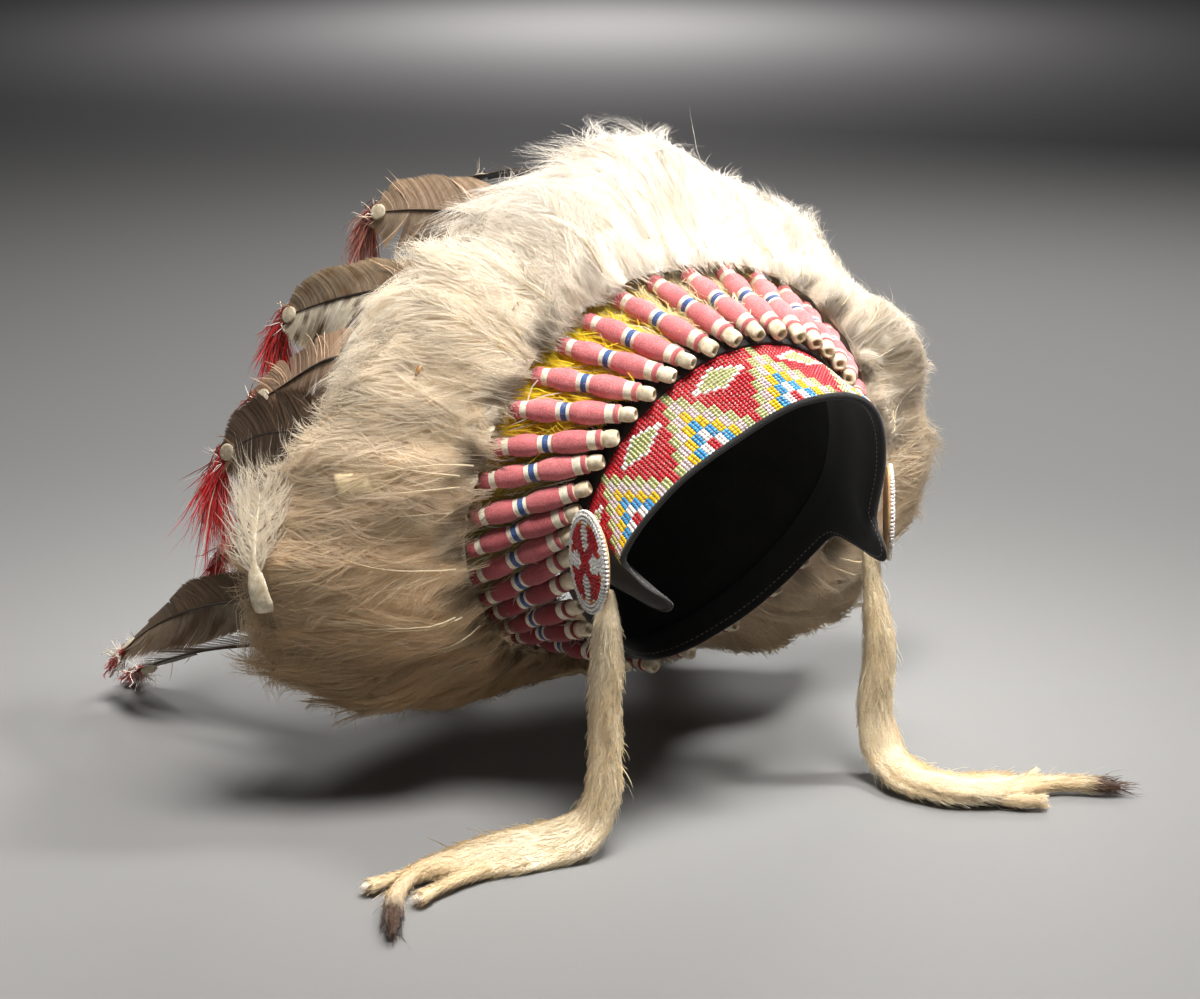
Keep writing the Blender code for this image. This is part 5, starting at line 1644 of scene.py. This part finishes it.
def addFur(batch, roots, ways, outs, tones, length, own, lift=0.32):
    t = np.array((0.0, 0.35, 0.7, 1.0))
    number = len(roots)
    way = unit(ways + np.cross(ways, outs) * own.normal(0, 0.28, (number, 1)))
    rise = own.uniform(0.4, 1.4, (number, 1)) * lift
    size = (length * own.uniform(0.6, 1.25, number))[:, None, None]
    paths = roots[:, None] + way[:, None] * t[None, :, None] * size
    paths = paths + outs[:, None] * (t * (1.35 - 0.75 * t))[None, :, None] * size * rise[:, None]
    paths = paths + own.normal(0, 0.00025, (number, 4, 3)) * t[None, :, None]
    keepAbove(paths, surface["fur"])
    widths = ermine["furWidth"] * np.array((1.0, 1.1, 0.8, 0.3))[None] * own.uniform(0.7, 1.3, (number, 1))
    # painted shade: darker at the fur's roots
    shades = tones[:, None] * np.array((0.88, 0.97, 1.02, 1.06))[None, :, None]
    addStrands(batch, paths, widths, outs, np.clip(shades, 0, 1), 0.5, 1, soft=0.6)


def addBody(batch, table, across, own, field, seed):
    count, sides, tail = ermine["rings"], ermine["sides"], ermine["tailFrom"]
    line, along, acrossWays, through, half, deep = skinLine(table, count, np.array(across, float))
    s = np.linspace(0, 1, count)
    a, b = np.meshgrid(s, np.linspace(0, fullTurn, sides, endpoint=False), indexing="ij")
    folds = 0.13 * np.sin(2 * b + 5 * a + seed) * np.sin(9 * a + 1) + 0.10 * np.sin(3 * b - 9 * a)
    folds = folds + 0.08 * field(a * 14, np.cos(b) * 2) + 0.06 * field(np.sin(b) * 3, a * 25)
    folds = 1 + folds * np.interp(a, (0, 0.08, 0.6, 0.72, 1), (0.3, 1, 1, 0.35, 0.1))
    ring = acrossWays[:, None] * (np.cos(b) * half[:, None] * folds)[..., None]
    ring = ring + through[:, None] * (np.sin(b) * deep[:, None] * folds)[..., None]
    full = np.interp(s, (0.05, 0.15, 0.55, 0.75), (1.0, ermine["fullness"], ermine["fullness"], 1.0))
    rings = line[:, None] + ring * ermine["core"] * full[:, None, None]
    keepAbove(rings, surface["skin"])
    white = np.clip(0.5 + 0.5 * field(s * 10, s * 0 + 2), 0, 1)[:, None]
    # the skin below the fur is darker: painted shade
    addLoft(batch, rings, furTone(s, white) * 0.82)
    # fur, thicker set where the skin is wide
    number = ermine["furs"]
    weight = np.linalg.norm(np.gradient(line, axis=0), axis=1) * (half + deep)
    place = np.interp(own.uniform(0, 1, number), np.cumsum(weight) / weight.sum(), s)
    round_ = own.uniform(0, fullTurn, number)
    x, y = place * (count - 1), round_ / fullTurn * sides
    i, j = np.minimum(x.astype(int), count - 2), y.astype(int) % sides
    u, v = (x - i)[:, None], (y - y.astype(int))[:, None]
    beside = (j + 1) % sides
    roots = mix(mix(rings[i, j], rings[i + 1, j], u), mix(rings[i, beside], rings[i + 1, beside], u), v)
    outs = unit(roots - line[i])
    white = 0.55 + 0.45 * field(place * 10, np.cos(round_)) + own.normal(0, 0.2, number)
    tones = furTone(place, np.clip(white, 0, 1)[:, None])
    flecks = np.clip(field(place * 22 + 3, np.sin(round_) * 1.5 + 4) - 0.75, 0, 1)[:, None] * 0.55
    tones = np.where(place[:, None] < tail, mix(tones, ermine["tan"], flecks), tones)
    shares = (0, 0.1, 0.6, 0.75, 0.90, 1.0)
    size = ermine["furLength"] * np.interp(place, shares, (0.7, 1.0, 1.0, 0.8, 1.1, 1.9))
    addFur(batch, roots, along[i], outs, tones, size, own)
    guard = own.choice(number, ermine["guardHairs"], replace=False)
    brighter = np.clip(tones[guard] * 1.1, 0, 1)
    addFur(batch, roots[guard], along[i][guard], outs[guard], brighter, size[guard] * 1.9, own, 0.75)


def addLeg(batch, fromSide, fromBack, toSide, toBack, own):
    start = np.array((fromSide, fromBack, ermine["legUp"]))
    end = np.array((toSide, toBack, ermine["legUp"]))
    way = unit(end - start)
    beside = unit(np.cross(way, upward))

    def core(share):
        return start + (end - start) * share[:, None] + beside * (np.sin(share * math.pi) * 0.002)[:, None]

    t = np.linspace(0, 1, 22)
    wide = ermine["legHalfWidth"] * straightTable(ermine["leg"], t) * 0.88
    turn = np.linspace(0, fullTurn, 12, endpoint=False)[None]
    leg = core(t)[:, None] + beside * (np.cos(turn) * wide)[..., None]
    leg = leg + upward * 0.80 * (np.sin(turn) * wide)[..., None]
    # the leg below the fur is darker: painted shade
    addLoft(batch, leg, np.array(ermine["cream"]) * 0.85)
    number = ermine["legFurs"]
    place, round_ = own.uniform(0, 0.97, number), own.uniform(0, fullTurn, number)
    out = beside * np.cos(round_)[:, None] + upward * np.sin(round_)[:, None]
    flat = np.where(np.abs(np.sin(round_)) > 0.5, 0.82, 1.0)[:, None]
    root = core(place) + out * alongLine(t, wide, place) * flat
    # the legs lie on the table and take the same painted shade
    tone = mix(ermine["cream"], ermine["pale"], own.uniform(0.2, 1.0, (number, 1))) * ermine["lyingShade"]
    ways = np.broadcast_to(way, (number, 3))
    addFur(batch, root, ways, out, tone, np.full(number, ermine["legFur"]), own)
    rise = upward * np.array((0.0008, 0.0012, 0.0008, -0.0010))[:, None]
    for k in (-1.2, -0.4, 0.4, 1.2):   # four claws, and a pad below them
        toe = end - way * 0.0030 + beside * k * 0.0017
        claw = toe + np.outer(np.linspace(0, 1, 4), way * 0.0062) + rise
        addTube(batch, claw, (0.0006, 0.00055, 0.0004, 0.0001), 5, ermine["claw"])
    pad = end - way * 0.0025 + way * np.array((-0.0022, -0.0008, 0.0008, 0.0020))[:, None]
    addTube(batch, pad, (0.001, 0.0030, 0.0030, 0.001), 8, ermine["pad"])


def buildErmine(name, side, across, node, seed):
    own = np.random.default_rng(seed)
    batch = newBatch()
    addBody(batch, ermine[side], across, own, smoothNoise(seed, 7, 1.0, 3.0), seed)
    for leg in ermine[side + "Legs"]:
        addLeg(batch, *leg, own)
    finishPiece(name, batch, [furSkin, furHair], node)


buildErmine("ermineRight", "right", (0, -1, 0), "ermine_right", 71)
buildErmine("ermineLeft", "left", (1, 0, 0), "ermine_left", 72)
print("ermine done")

# ---- floor
bpy.ops.mesh.primitive_plane_add(size=view["floorSize"], location=(0, 0, view["tableHeight"]))
floor = bpy.context.object
floor.name = "floor"
floor.data.materials.append(makeMaterial("floorPaper", (view["floorGrey"],) * 3, 0.9))
